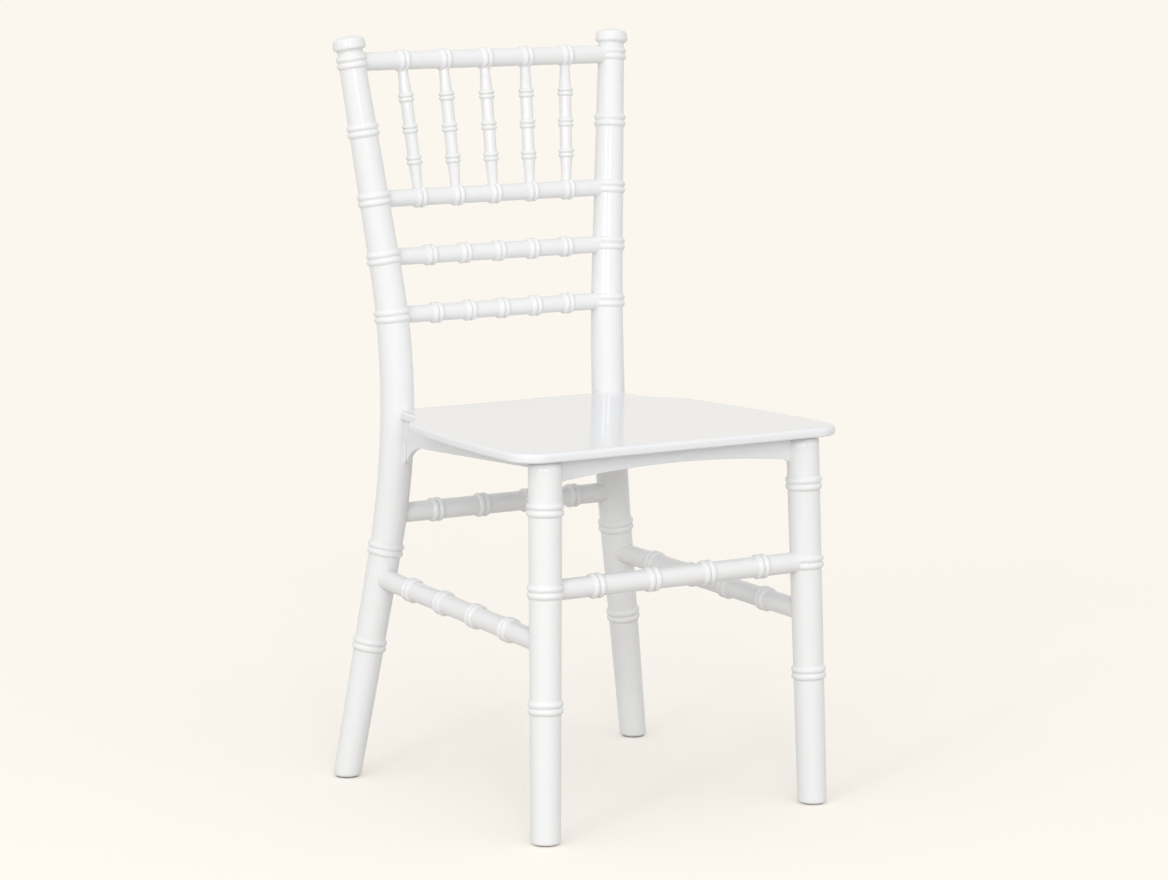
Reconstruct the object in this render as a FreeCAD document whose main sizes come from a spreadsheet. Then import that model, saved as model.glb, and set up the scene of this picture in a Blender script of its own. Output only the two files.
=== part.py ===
import FreeCAD, Part
import math
import os

import Sketcher
from FreeCAD import Placement, Rotation, Vector

# Child-size chiavari side chair, moulded in glossy resin.
# Millimetres, +Z up. The origin is on the floor, under the middle of the chair.
# The chair faces -Y, and +X is the side of the members whose names start with right.
# Rails, stretchers and spindles are turned members with rounded tenons that are bonded
# into blind sockets. The seat panel is bolted to the four uprights from its inside.

# Driving sizes: alias, value in millimetres (counts are plain numbers), meaning
SIZES = (
    ("joint_gap", 0.15, "bond line between a coped shoulder and its upright"),
    ("socket_gap", 0.1, "clearance round a tenon in its socket"),
    ("tenon_depth", 7.0, "depth of a tenon in an upright"),
    ("tenon_radius", 4.2, "tenon of a rail or stretcher"),
    ("post_foot_x", 143.1, "rear post axis at the floor, from the centre"),
    ("post_foot_y", 130.0, "rear post axis at the floor"),
    ("post_elbow_x", 96.5, "corner of the two straight stretches of the rear post"),
    ("post_elbow_y", 107.4, "corner of the rear post"),
    ("post_elbow_height", 305.0, "corner of the rear post"),
    ("post_top_x", 126.7, "rear post axis at the crest rail"),
    ("post_top_y", 146.4, "rear post axis at the crest rail"),
    ("post_bend_reach", 115.0, "from the corner to where the post runs straight"),
    ("post_foot_radius", 11.3, "rear post at the floor"),
    ("post_lower_radius", 13.4, "rear post at the lower end of its bend"),
    ("post_seat_radius", 14.0, "rear post at the seat"),
    ("post_upper_radius", 13.0, "rear post at the upper end of its bend"),
    ("post_top_radius", 11.1, "rear post at the crest rail"),
    ("post_upper_ring", 532.9, "ring between the crest and the spindle rail"),
    ("post_middle_ring", 190.9, "ring under the seat"),
    ("post_lower_ring", 111.2, "ring above the foot"),
    ("finial_neck_radius", 10.5, "neck under the cap of the post"),
    ("finial_neck_length", 9.8, "crest ring to the underside of the cap"),
    ("finial_radius", 13.9, "cap of the post"),
    ("finial_top_radius", 13.2, "cap of the post at its upper edge"),
    ("finial_side", 9.6, "height of the side of the cap"),
    ("finial_edge", 2.0, "rounding of the edges of the cap"),
    ("finial_dome", 2.2, "rise of the domed top of the cap"),
    ("leg_foot_x", 128.1, "front leg axis at the floor"),
    ("leg_foot_y", -150.2, "front leg axis at the floor"),
    ("leg_top_x", 122.3, "front leg axis under the seat plate"),
    ("leg_top_y", -138.2, "front leg axis under the seat plate"),
    ("leg_foot_radius", 11.9, "front leg at the floor"),
    ("leg_top_radius", 13.3, "front leg under the seat plate"),
    ("leg_upper_ring", 260.7, "ring below the seat"),
    ("leg_lower_ring", 107.2, "ring above the foot"),
    ("upright_bead_radius", 2.7, "round of one bead of a ring on an upright"),
    ("upright_bead_rise", 1.75, "how far that bead stands out"),
    ("upright_bead_pitch", 5.4, "between the two beads of a ring"),
    ("foot_edge", 1.5, "rounding of the lower edge of an upright"),
    ("crest_height", 588.5, "axis of the crest rail"),
    ("crest_radius", 7.6, "crest rail"),
    ("crest_ring_pitch", 39.9, "between the rings of the crest rail"),
    ("spindle_rail_height", 477.4, "axis of the rail under the spindles"),
    ("spindle_rail_ring_pitch", 36.2, "between the rings of that rail"),
    ("upper_rail_height", 430.0, "axis of the next rail down"),
    ("upper_rail_ring_pitch", 33.2, "between the rings of that rail"),
    ("lower_rail_height", 382.8, "axis of the lowest rail of the back"),
    ("lower_rail_ring_pitch", 32.1, "between the rings of that rail"),
    ("rail_radius", 7.1, "the three rails under the crest"),
    ("rail_rings", 5, "rings on each rail, one for each spindle"),
    ("rail_bead_radius", 2.4, "round of one bead of a ring on a rail"),
    ("rail_bead_rise", 1.75, "how far that bead stands out"),
    ("rail_bead_pitch", 4.7, "between the two beads of a ring"),
    ("spindle_radius", 5.1, "spindle between its nodes"),
    ("spindle_end_radius", 4.1, "spindle where it meets a rail"),
    ("spindle_node_pitch", 25.8, "between the three nodes of a spindle"),
    ("spindle_bead_radius", 1.9, "round of one bead of a node"),
    ("spindle_bead_rise", 1.55, "how far that bead stands out"),
    ("spindle_bead_pitch", 3.8, "between the two beads of a node"),
    ("spindle_tenon_radius", 2.5, "tenon of a spindle"),
    ("spindle_tenon_depth", 4.0, "depth of that tenon in a rail"),
    ("front_stretcher_height", 197.2, "axis of the front stretcher"),
    ("front_stretcher_ring_pitch", 52.3, "between its rings"),
    ("rear_stretcher_height", 219.5, "axis of the rear stretcher"),
    ("rear_stretcher_ring_pitch", 45.1, "between its rings"),
    ("side_stretcher_front_height", 155.9, "axis at the front leg"),
    ("side_stretcher_rear_height", 166.8, "axis at the rear post"),
    ("side_stretcher_ring_pitch", 51.1, "between its rings"),
    ("stretcher_radius", 8.3, "all four stretchers"),
    ("stretcher_rings", 4, "rings on each stretcher"),
    ("stretcher_bead_radius", 2.7, "round of one bead of a ring"),
    ("stretcher_bead_rise", 1.8, "how far that bead stands out"),
    ("stretcher_bead_pitch", 5.5, "between the two beads of a ring"),
    ("seat_height", 306.5, "top of the seat plate"),
    ("plate_thickness", 7.5, "seat plate"),
    ("plate_top_edge", 3.2, "rounding of the upper edge of the plate"),
    ("plate_bottom_edge", 1.8, "rounding of the lower edge of the plate"),
    ("plate_rear_y", 109.0, "rear edge of the plate"),
    ("plate_front_y", -157.0, "front edge of the plate"),
    ("plate_front_x", 153.5, "side edge of the plate at the front corner"),
    ("plate_front_corner", 25.0, "round of the front corners, seen from above"),
    ("plate_waist_x", 148.4, "side edge half way back"),
    ("plate_waist_y", -40.0, "place of that point"),
    ("plate_shoulder_x", 136.2, "rear end of the side edge"),
    ("plate_shoulder_y", 42.7, "rear end of the side edge"),
    ("plate_shoulder_round", 3.0, "round of that corner, seen from above"),
    ("plate_notch_x", 113.6, "inner corner of the notch beside the rear post"),
    ("plate_notch_y", 66.0, "inner corner of the notch"),
    ("plate_ear_x", 107.6, "side of the ear in front of the rear post"),
    ("apron_thickness", 4.5, "wall of the aprons"),
    ("front_apron_setback", 18.3, "front edge of the plate to the face of the front apron"),
    ("front_apron_middle", 19.6, "seat top to the lower edge in the middle"),
    ("front_apron_end", 25.2, "seat top to the lower edge near the legs"),
    ("front_apron_cusp", 28.4, "seat top to the lower tip at the legs"),
    ("apron_cusp_length", 9.0, "length of the turned-down end at a front leg"),
    ("side_apron_front", 17.2, "seat top to the lower edge near the front leg"),
    ("side_apron_cusp", 19.5, "seat top to the lower tip at the front leg"),
    ("side_apron_rear", 27.4, "seat top to the lower edge before the rear gusset"),
    ("side_apron_gusset", 43.5, "seat top to the lower tip at the rear post"),
    ("gusset_length", 50.0, "length of that gusset, from the post axis"),
    ("gusset_bow", 3.5, "how far the gusset curves away from a straight line"),
    ("rear_apron_setback", 4.0, "rear edge of the plate to the face of the rear apron"),
    ("rear_apron_depth", 24.0, "seat top to the lower edge of the rear apron"),
    ("block_reach", 29.0, "upright axis to the inner face of its corner block"),
    ("block_depth", 17.0, "seat top to the lower face of a corner block"),
    ("rib_thickness", 3.0, "ribs under the plate"),
    ("rib_depth", 4.0, "height of the ribs under the plate"),
    ("rib_spacing", 62.0, "between the ribs"),
    ("bolt_drop", 12.2, "seat top to the axis of the corner bolts"),
    ("bolt_radius", 2.5, "shank of a corner bolt"),
    ("bolt_length", 26.0, "shank of a corner bolt, under its head"),
    ("bolt_head_radius", 4.25, "head of a corner bolt"),
    ("bolt_head_height", 5.0, "head of a corner bolt"),
    ("bolt_hex", 4.0, "key size of a corner bolt"),
    ("bolt_hex_depth", 2.5, "depth of the key hole"),
    ("washer_radius", 4.6, "washer under the head"),
    ("washer_thickness", 1.2, "washer under the head"),
    ("insert_radius", 3.2, "threaded insert in an upright"),
    ("insert_length", 9.0, "threaded insert in an upright"),
    ("insert_sink", 0.3, "outer end of the insert under the surface of the upright"),
    ("bolt_tip_room", 1.5, "free depth past the tip of a corner bolt"),
    ("glide_radius", 9.0, "foot glide"),
    ("glide_thickness", 2.2, "foot glide, of which most is let into the upright"),
    ("glide_stand_out", 1.0, "how far the glide stands below the upright"),
    ("glide_stem_radius", 3.0, "stem of a foot glide"),
    ("glide_stem_length", 9.0, "stem of a foot glide"),
)

POST_RING_HEIGHTS = (
    "crest_height",
    "post_upper_ring",
    "spindle_rail_height",
    "upper_rail_height",
    "lower_rail_height",
    "post_middle_ring",
    "post_lower_ring",
)
LEG_RING_HEIGHTS = ("leg_upper_ring", "front_stretcher_height", "leg_lower_ring")
SPINDLE_NODES = 3
BEND_STATIONS = 8
FLOOR_MARGIN = 12.0
BODY_AXIS = Vector(0, 0, 1)
SIDES = (("left", -1), ("right", 1))

doc = FreeCAD.newDocument("ChiavariChair")
sheet = doc.addObject("Spreadsheet::Sheet", "Sizes")
sheet_rows = []
finished = []


def write_size(alias, value, meaning):
    """One row of the sheet: what it means, and its value under an alias."""
    row = len(sheet_rows) + 1
    sheet.set("A%d" % row, meaning)
    sheet.set("B%d" % row, repr(value))
    sheet.setAlias("B%d" % row, alias)
    sheet_rows.append(alias)


def size(alias):
    return float(sheet.get(alias))


# The path and thickness of the bent rear post


class RearPost:
    """Right rear post: straight from the foot, a wide bend at the seat, straight to the top."""

    def __init__(self):
        foot = Vector(size("post_foot_x"), size("post_foot_y"), 0)
        elbow = Vector(size("post_elbow_x"), size("post_elbow_y"), size("post_elbow_height"))
        top = Vector(size("post_top_x"), size("post_top_y"), size("crest_height"))
        reach = size("post_bend_reach")
        self.foot = foot
        self.top = top
        self.lower_way = (elbow - foot).normalize()
        self.upper_way = (top - elbow).normalize()
        self.bend_start = elbow - self.lower_way * reach
        self.bend_end = elbow + self.upper_way * reach
        self.turn = self.lower_way.getAngle(self.upper_way)
        self.bend_radius = reach / math.tan(self.turn / 2)
        across = self.upper_way - self.lower_way * self.lower_way.dot(self.upper_way)
        self.across = across.normalize()
        self.bend_centre = self.bend_start + self.across * self.bend_radius

    def bend_point(self, share):
        angle = self.turn * share
        out = self.across * -math.cos(angle) + self.lower_way * math.sin(angle)
        return self.bend_centre + out * self.bend_radius

    def bend_way(self, share):
        angle = self.turn * share
        return self.across * math.sin(angle) + self.lower_way * math.cos(angle)

    def bend_share(self, height):
        """The share of the bend, from 0 to 1, at which the axis has this height."""
        low, high = 0.0, 1.0
        while high - low > 1e-9:
            middle = (low + high) / 2
            if self.bend_point(middle).z < height:
                low = middle
            else:
                high = middle
        return (low + high) / 2

    def point(self, height):
        if height <= self.bend_start.z:
            return self.foot + self.lower_way * ((height - self.foot.z) / self.lower_way.z)
        if height >= self.bend_end.z:
            return self.bend_end + self.upper_way * ((height - self.bend_end.z) / self.upper_way.z)
        return self.bend_point(self.bend_share(height))

    def way(self, height):
        if height <= self.bend_start.z:
            return self.lower_way
        if height >= self.bend_end.z:
            return self.upper_way
        return self.bend_way(self.bend_share(height))

    def bend_thickness(self, share):
        """A smooth swell through the radii at the two ends and the middle of the bend."""
        low, middle, high = size("post_lower_radius"), size("post_seat_radius"), size("post_upper_radius")
        return (
            low * (1 - share) * (1 - 2 * share)
            + middle * 4 * share * (1 - share)
            + high * share * (2 * share - 1)
        )

    def radius(self, height):
        if height <= self.bend_start.z:
            share = height / self.bend_start.z
            return size("post_foot_radius") * (1 - share) + size("post_lower_radius") * share
        if height >= self.bend_end.z:
            share = (height - self.bend_end.z) / (self.top.z - self.bend_end.z)
            return size("post_upper_radius") * (1 - share) + size("post_top_radius") * share
        return self.bend_thickness(self.bend_share(height))


class FrontLeg:
    """Right front leg: one straight taper from the foot to the underside of the plate."""

    def __init__(self):
        self.foot = Vector(size("leg_foot_x"), size("leg_foot_y"), 0)
        self.top = Vector(size("leg_top_x"), size("leg_top_y"), plate_underside())
        self.axis_way = (self.top - self.foot).normalize()

    def point(self, height):
        return self.foot + self.axis_way * (height / self.axis_way.z)

    def way(self, height):
        return self.axis_way

    def radius(self, height):
        share = height / self.top.z
        return size("leg_foot_radius") * (1 - share) + size("leg_top_radius") * share


def plate_underside():
    return size("seat_height") - size("plate_thickness")


def sided(vector, side):
    """The same place or direction on the left (-1) or right (+1) side of the chair."""
    return Vector(vector.x * side, vector.y, vector.z)


def along(start, way):
    """Placement that puts a body's own Z axis along a direction, from a start point."""
    return Placement(start, Rotation(BODY_AXIS, way))


# Building blocks of the document


class Measure:
    """A size together with the expression that gives it, so that sums stay bound to the sheet."""

    def __init__(self, text, number):
        self.text = text
        self.number = number

    def __add__(self, other):
        other = measure(other)
        return Measure("(%s + %s)" % (self.text, other.text), self.number + other.number)

    def __sub__(self, other):
        other = measure(other)
        return Measure("(%s - %s)" % (self.text, other.text), self.number - other.number)

    def __mul__(self, other):
        other = measure(other)
        return Measure("(%s * %s)" % (self.text, other.text), self.number * other.number)

    def __truediv__(self, other):
        other = measure(other)
        return Measure("(%s / %s)" % (self.text, other.text), self.number / other.number)

    def __neg__(self):
        return Measure("(-1 * %s)" % self.text, -self.number)


def measure(value):
    return value if isinstance(value, Measure) else Measure(repr(float(value)), float(value))


def sized(alias):
    return Measure("Sizes." + alias, size(alias))


def worked_out(alias, number):
    """A size that follows from the driving ones, kept in the sheet under its own alias."""
    write_size(alias, number, "worked out")
    sheet.recompute()
    return Measure("Sizes." + alias, number)


def bind(item, name, value):
    """Set a property of a document object from a measure, and keep it bound."""
    setattr(item, name, value.number)
    item.setExpression(name, value.text)


def origin_plane(body, role):
    return next(item for item in body.Origin.OriginFeatures if item.Role == role)


def new_body(name):
    return doc.addObject("PartDesign::Body", name)


def new_sketch(body, name, role="XZ_Plane"):
    sketch = body.newObject("Sketcher::SketchObject", name)
    sketch.AttachmentSupport = (origin_plane(body, role), "")
    sketch.MapMode = "FlatFace"
    return sketch


def hold(sketch, label, kind, geometry, corner, value):
    """Hold one coordinate of a point at a measure from the sketch's origin."""
    value = measure(value)
    if abs(value.number) < 1e-9:
        axis = -2 if kind == "DistanceX" else -1
        sketch.addConstraint(Sketcher.Constraint("PointOnObject", geometry, corner, axis))
        return
    if value.number > 0:
        constraint = Sketcher.Constraint(kind, -1, 1, geometry, corner, value.number)
    else:
        value = -value
        constraint = Sketcher.Constraint(kind, geometry, corner, -1, 1, value.number)
    index = sketch.addConstraint(constraint)
    sketch.renameConstraint(index, label)
    sketch.setExpression("Constraints." + label, value.text)


def hold_point(sketch, label, geometry, corner, point):
    hold(sketch, label + "_across", "DistanceX", geometry, corner, point[0])
    hold(sketch, label + "_up", "DistanceY", geometry, corner, point[1])


def flat(point):
    return Vector(measure(point[0]).number, measure(point[1]).number, 0)


def outline(sketch, corners):
    """Closed outline through corners. A corner is (x, y), or (x, y, bow), where bow is a point
    that the stretch from this corner to the next one passes through as an arc."""
    ends = []
    for index, corner in enumerate(corners):
        start = flat(corner)
        end = flat(corners[(index + 1) % len(corners)])
        if len(corner) == 2:
            sketch.addGeometry(Part.LineSegment(start, end), False)
            ends.append((1, 2))
            continue
        bow = flat(corner[2])
        sketch.addGeometry(Part.Arc(start, bow, end), False)
        turns_left = (bow - start).cross(end - bow).z > 0
        ends.append((1, 2) if turns_left else (2, 1))
    for index, corner in enumerate(corners):
        after = (index + 1) % len(corners)
        joined = Sketcher.Constraint("Coincident", index, ends[index][1], after, ends[after][0])
        sketch.addConstraint(joined)
        hold_point(sketch, "corner_%d" % index, index, ends[index][0], corner)
        if len(corner) == 3:
            guide = sketch.addGeometry(Part.Point(flat(corner[2])), True)
            hold_point(sketch, "bow_%d" % index, guide, 1, corner[2])
            sketch.addConstraint(Sketcher.Constraint("PointOnObject", guide, 1, index))


def round_section(sketch, label, x, y, radius):
    """A circle held by its centre and radius."""
    circle = Part.Circle(flat((x, y)), Vector(0, 0, 1), radius.number)
    index = sketch.addGeometry(circle, False)
    hold_point(sketch, label, index, 3, (x, y))
    held = sketch.addConstraint(Sketcher.Constraint("Radius", index, radius.number))
    sketch.renameConstraint(held, label + "_radius")
    sketch.setExpression("Constraints.%s_radius" % label, radius.text)


def revolve(body, name, sketch):
    turned = body.newObject("PartDesign::Revolution", name)
    turned.Profile = sketch
    turned.ReferenceAxis = (sketch, ["V_Axis"])
    turned.Angle = 360
    body.Tip = turned
    return turned


def pad(body, name, sketch, length, reverse=False):
    padded = body.newObject("PartDesign::Pad", name)
    padded.Profile = sketch
    bind(padded, "Length", length)
    padded.Reversed = reverse
    body.Tip = padded
    return padded


def turned_body(name, profile):
    """A solid of revolution about the body's Z axis. The profile is (radius, height) corners."""
    body = new_body(name)
    sketch = new_sketch(body, name + "_profile")
    outline(sketch, profile)
    revolve(body, name + "_turned", sketch)
    return body


def double_ring(body, name, height, surface, family):
    """Two beads side by side round a turned member, as on bamboo."""
    sketch = new_sketch(body, name + "_beads")
    radius = sized(family + "_bead_radius")
    centre = surface + sized(family + "_bead_rise") - radius
    half_pitch = sized(family + "_bead_pitch") / 2
    round_section(sketch, "lower_bead", centre, height - half_pitch, radius)
    round_section(sketch, "upper_bead", centre, height + half_pitch, radius)
    return revolve(body, name, sketch), sketch


def repeat(body, name, feature, sketch, pitch, count):
    """Equal steps of one feature along the body's Z axis."""
    pattern = body.newObject("PartDesign::LinearPattern", name)
    pattern.Originals = [feature]
    pattern.Direction = (sketch, ["V_Axis"])
    bind(pattern, "Length", pitch * (count - 1))
    pattern.Occurrences = int(count.number)
    pattern.setExpression("Occurrences", count.text)
    body.Tip = pattern


def rod(name, radius, length, start, way):
    """A plain cylinder from a start point along a direction."""
    cylinder = doc.addObject("Part::Cylinder", name)
    bind(cylinder, "Radius", radius)
    bind(cylinder, "Height", length)
    cylinder.Placement = along(start, way)
    return cylinder


def cut(name, base, *tools):
    tool = tools[0] if len(tools) == 1 else fuse(name + "_cutters", *tools)
    result = doc.addObject("Part::Cut", name)
    result.Base = base
    result.Tool = tool
    return result


def fuse(name, *shapes):
    result = doc.addObject("Part::MultiFuse", name)
    result.Shapes = list(shapes)
    return result


def own_shape(name, shape):
    item = doc.addObject("Part::Feature", name)
    item.Shape = shape
    return item


def finish(item, node):
    """Name a finished sub-part. Its label is the name of its file."""
    item.Label = node
    finished.append(item)
    return item


# Uprights


def ring_solid(path, height):
    """Both beads of one ring, square to the path of an upright."""
    bead = size("upright_bead_radius")
    offset = size("upright_bead_pitch") / 2
    centre_radius = path.radius(height) + size("upright_bead_rise") - bead
    way = path.way(height)
    middle = path.point(height)
    beads = [
        Part.makeTorus(centre_radius, bead, middle + way * (offset * step), way) for step in (-1, 1)
    ]
    return beads[0].fuse(beads[1])


def tapered(start, end, start_radius, end_radius):
    """A cone between two points, or a cylinder where both ends are equal."""
    way = end - start
    if abs(start_radius - end_radius) < 1e-6:
        return Part.makeCylinder(start_radius, way.Length, start, way)
    return Part.makeCone(start_radius, end_radius, way.Length, start, way)


def circle_wire(centre, way, radius):
    return Part.Wire([Part.Edge(Part.Circle(centre, way, radius))])


def post_pole(path, growth):
    """The plain bent pole of the rear post, from below the floor to the neck of its cap."""
    below = path.point(-FLOOR_MARGIN)
    neck = path.top + path.upper_way * size("finial_neck_length")
    foot_radius = path.radius(-FLOOR_MARGIN) + growth
    lower = tapered(below, path.bend_start, foot_radius, size("post_lower_radius") + growth)
    bend_radius = size("post_upper_radius") + growth
    upper = tapered(path.bend_end, path.top, bend_radius, size("post_top_radius") + growth)
    neck_radius = size("finial_neck_radius") + growth
    neck_rod = tapered(path.top, neck, neck_radius, neck_radius)
    stations = [step / BEND_STATIONS for step in range(BEND_STATIONS + 1)]
    sections = [
        circle_wire(path.bend_point(share), path.bend_way(share), path.bend_thickness(share) + growth)
        for share in stations
    ]
    bend = Part.makeLoft(sections, True, False)
    return lower.fuse([bend, upper, neck_rod])


def finial_cap(path):
    """Domed cap on the neck of the post: a turned disc with rounded edges."""
    base = size("finial_neck_length")
    side = size("finial_side")
    edge = size("finial_edge")
    wide = size("finial_radius")
    narrow = size("finial_top_radius")
    dome = size("finial_dome")
    bulge = edge * (1 - math.sqrt(0.5))
    crown = Vector(0, 0, base + side + dome)
    rim = Vector(narrow - edge, 0, base + side)
    dome_radius = (rim.x ** 2 + dome ** 2) / (2 * dome)
    half_drop = dome_radius - math.sqrt(dome_radius ** 2 - (rim.x / 2) ** 2)
    crown_half = Vector(rim.x / 2, 0, crown.z - half_drop)
    corners = (
        (Vector(0, 0, base), Vector(wide - edge, 0, base), None),
        (Vector(wide - edge, 0, base), Vector(wide, 0, base + edge), Vector(wide - bulge, 0, base + bulge)),
        (Vector(wide, 0, base + edge), Vector(narrow, 0, base + side - edge), None),
        (Vector(narrow, 0, base + side - edge), rim, Vector(narrow - bulge, 0, base + side - bulge)),
        (rim, crown, crown_half),
        (crown, Vector(0, 0, base), None),
    )
    edges = [
        Part.LineSegment(start, end).toShape() if bow is None else Part.Arc(start, bow, end).toShape()
        for start, end, bow in corners
    ]
    turned = Part.Face(Part.Wire(edges)).revolve(Vector(0, 0, 0), BODY_AXIS, 360)
    turned.Placement = along(path.top, path.upper_way)
    return turned


def below_floor(path):
    """Everything under the level at which an upright is cut off flat, above its glide."""
    reach = 4 * size("glide_radius") + 2 * FLOOR_MARGIN
    corner = path.foot - Vector(reach / 2, reach / 2, reach)
    return Part.makeBox(reach, reach, reach + size("glide_stand_out"), corner)


def rounded_foot(shape):
    """Round the lower edge of an upright, where it is cut off flat."""
    level = size("glide_stand_out")
    rim = [
        edge
        for edge in shape.Edges
        if abs(edge.BoundBox.ZMin - level) < 1e-4 and abs(edge.BoundBox.ZMax - level) < 1e-4
    ]
    return shape.makeFillet(size("foot_edge"), rim)


def glide_socket(path):
    """Recess for a foot glide: its pad and its stem, with clearance."""
    gap = size("socket_gap")
    level = Vector(path.foot.x, path.foot.y, 0)
    pad_top = size("glide_thickness") + gap
    stem_top = pad_top + size("glide_stem_length")
    recess = Part.makeCylinder(size("glide_radius") + gap, pad_top, level)
    stem = Part.makeCylinder(size("glide_stem_radius") + gap, stem_top, level)
    return recess.fuse(stem)


def rear_post_shape(path):
    heights = [size(alias) for alias in POST_RING_HEIGHTS]
    rings = [ring_solid(path, height) for height in heights]
    plain = post_pole(path, 0)
    post = plain.fuse(rings + [finial_cap(path)])
    post = rounded_foot(post.cut(below_floor(path)).removeSplitter())
    return post.cut(glide_socket(path))


# Members that join the uprights


def leg_stick(name, path, side):
    """The turned stick of a front leg, with its three double rings."""
    start = path.point(-FLOOR_MARGIN)
    end = path.point(path.top.z + FLOOR_MARGIN)
    length = worked_out(name + "_length", (end - start).Length)
    low = worked_out(name + "_low_radius", path.radius(start.z))
    high = worked_out(name + "_high_radius", path.radius(end.z))
    body = turned_body(name, [(0, 0), (low, 0), (high, length), (0, length)])
    for number, alias in enumerate(LEG_RING_HEIGHTS):
        height = size(alias)
        place = worked_out("%s_ring_%d" % (name, number), (height - start.z) / path.axis_way.z)
        surface = worked_out("%s_surface_%d" % (name, number), path.radius(height))
        double_ring(body, "%s_ring_%d" % (name, number), place, surface, "upright")
    body.Placement = along(sided(start, side), sided(path.axis_way, side))
    return body


def flat_cutters(name, path, side):
    """Boxes that cut a front leg off flat above its glide and under the seat plate."""
    reach = 4 * size("leg_top_radius")
    low = doc.addObject("Part::Box", name + "_below")
    high = doc.addObject("Part::Box", name + "_above")
    for box in (low, high):
        box.Length = reach
        box.Width = reach
        box.Height = reach
    foot = sided(path.foot, side)
    top = sided(path.top, side)
    low_corner = Vector(foot.x - reach / 2, foot.y - reach / 2, size("glide_stand_out") - reach)
    high_corner = Vector(top.x - reach / 2, top.y - reach / 2, top.z - size("joint_gap"))
    low.Placement = Placement(low_corner, Rotation())
    high.Placement = Placement(high_corner, Rotation())
    return low, high


def foot_rounding(name, base):
    """Round the lower edge of a front leg."""
    doc.recompute()
    level = size("glide_stand_out")
    rim = [
        index + 1
        for index, edge in enumerate(base.Shape.Edges)
        if abs(edge.BoundBox.ZMin - level) < 1e-4 and abs(edge.BoundBox.ZMax - level) < 1e-4
    ]
    fillet = doc.addObject("Part::Fillet", name)
    fillet.Base = base
    fillet.Edges = [(index, size("foot_edge"), size("foot_edge")) for index in rim]
    return fillet


def cross_member(name, prefix, path, radius, family):
    """A straight turned member between the left and right uprights, with evenly spaced rings.

    Returns the member before it is coped, its tenons, the rod for the sockets of the tenons
    and the rod that clears the rings of the uprights round its ends."""
    height = size(prefix + "_height")
    ring_pitch, ring_count = sized(prefix + "_ring_pitch"), sized(family + "_rings")
    axis = path.point(height)
    half = worked_out(name + "_half_span", axis.x)
    reach = worked_out(name + "_tenon_reach", axis.x - path.radius(height) + size("tenon_depth"))
    body = turned_body(name + "_stick", [(0, 0), (radius, 0), (radius, half * 2), (0, half * 2)])
    first = half - ring_pitch * (ring_count - 1) / 2
    ring, sketch = double_ring(body, name + "_ring", first, radius, family)
    repeat(body, name + "_rings", ring, sketch, ring_pitch, ring_count)
    way = Vector(1, 0, 0)
    body.Placement = along(Vector(-half.number, axis.y, axis.z), way)
    tenon_start = Vector(-reach.number, axis.y, axis.z)
    tenons = rod(name + "_tenons", sized("tenon_radius"), reach * 2, tenon_start, way)
    gap = sized("socket_gap")
    socket_start = tenon_start - way * gap.number
    socket_radius = sized("tenon_radius") + gap
    sockets = rod(name + "_sockets", socket_radius, (reach + gap) * 2, socket_start, way)
    body_start = Vector(-half.number, axis.y, axis.z)
    clearing = rod(name + "_clearing", radius + sized("joint_gap"), half * 2, body_start, way)
    return body, tenons, sockets, clearing


def side_stretcher(name, side, post, leg):
    """The stretcher between a rear post and the front leg of the same side."""
    start = sided(post.point(size("side_stretcher_rear_height")), side)
    end = sided(leg.point(size("side_stretcher_front_height")), side)
    way = (end - start).normalize()
    radius = sized("stretcher_radius")
    length = worked_out(name + "_length", (end - start).Length)
    body = turned_body(name + "_stick", [(0, 0), (radius, 0), (radius, length), (0, length)])
    pitch = sized("side_stretcher_ring_pitch")
    count = sized("stretcher_rings")
    first = length / 2 - pitch * (count - 1) / 2
    ring, sketch = double_ring(body, name + "_ring", first, radius, "stretcher")
    repeat(body, name + "_rings", ring, sketch, pitch, count)
    body.Placement = along(start, way)
    depth = size("tenon_depth")
    rear_offset = post.radius(start.z) - depth
    front_offset = leg.radius(end.z) - depth
    tenon_length = worked_out(name + "_tenon_length", length.number - rear_offset - front_offset)
    tenons = rod(name + "_tenons", sized("tenon_radius"), tenon_length, start + way * rear_offset, way)
    gap = sized("socket_gap")
    socket_start = start + way * (rear_offset - gap.number)
    socket_radius = sized("tenon_radius") + gap
    sockets = rod(name + "_sockets", socket_radius, tenon_length + gap * 2, socket_start, way)
    clearing = rod(name + "_clearing", radius + sized("joint_gap"), length, start, way)
    return body, tenons, sockets, clearing


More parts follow.
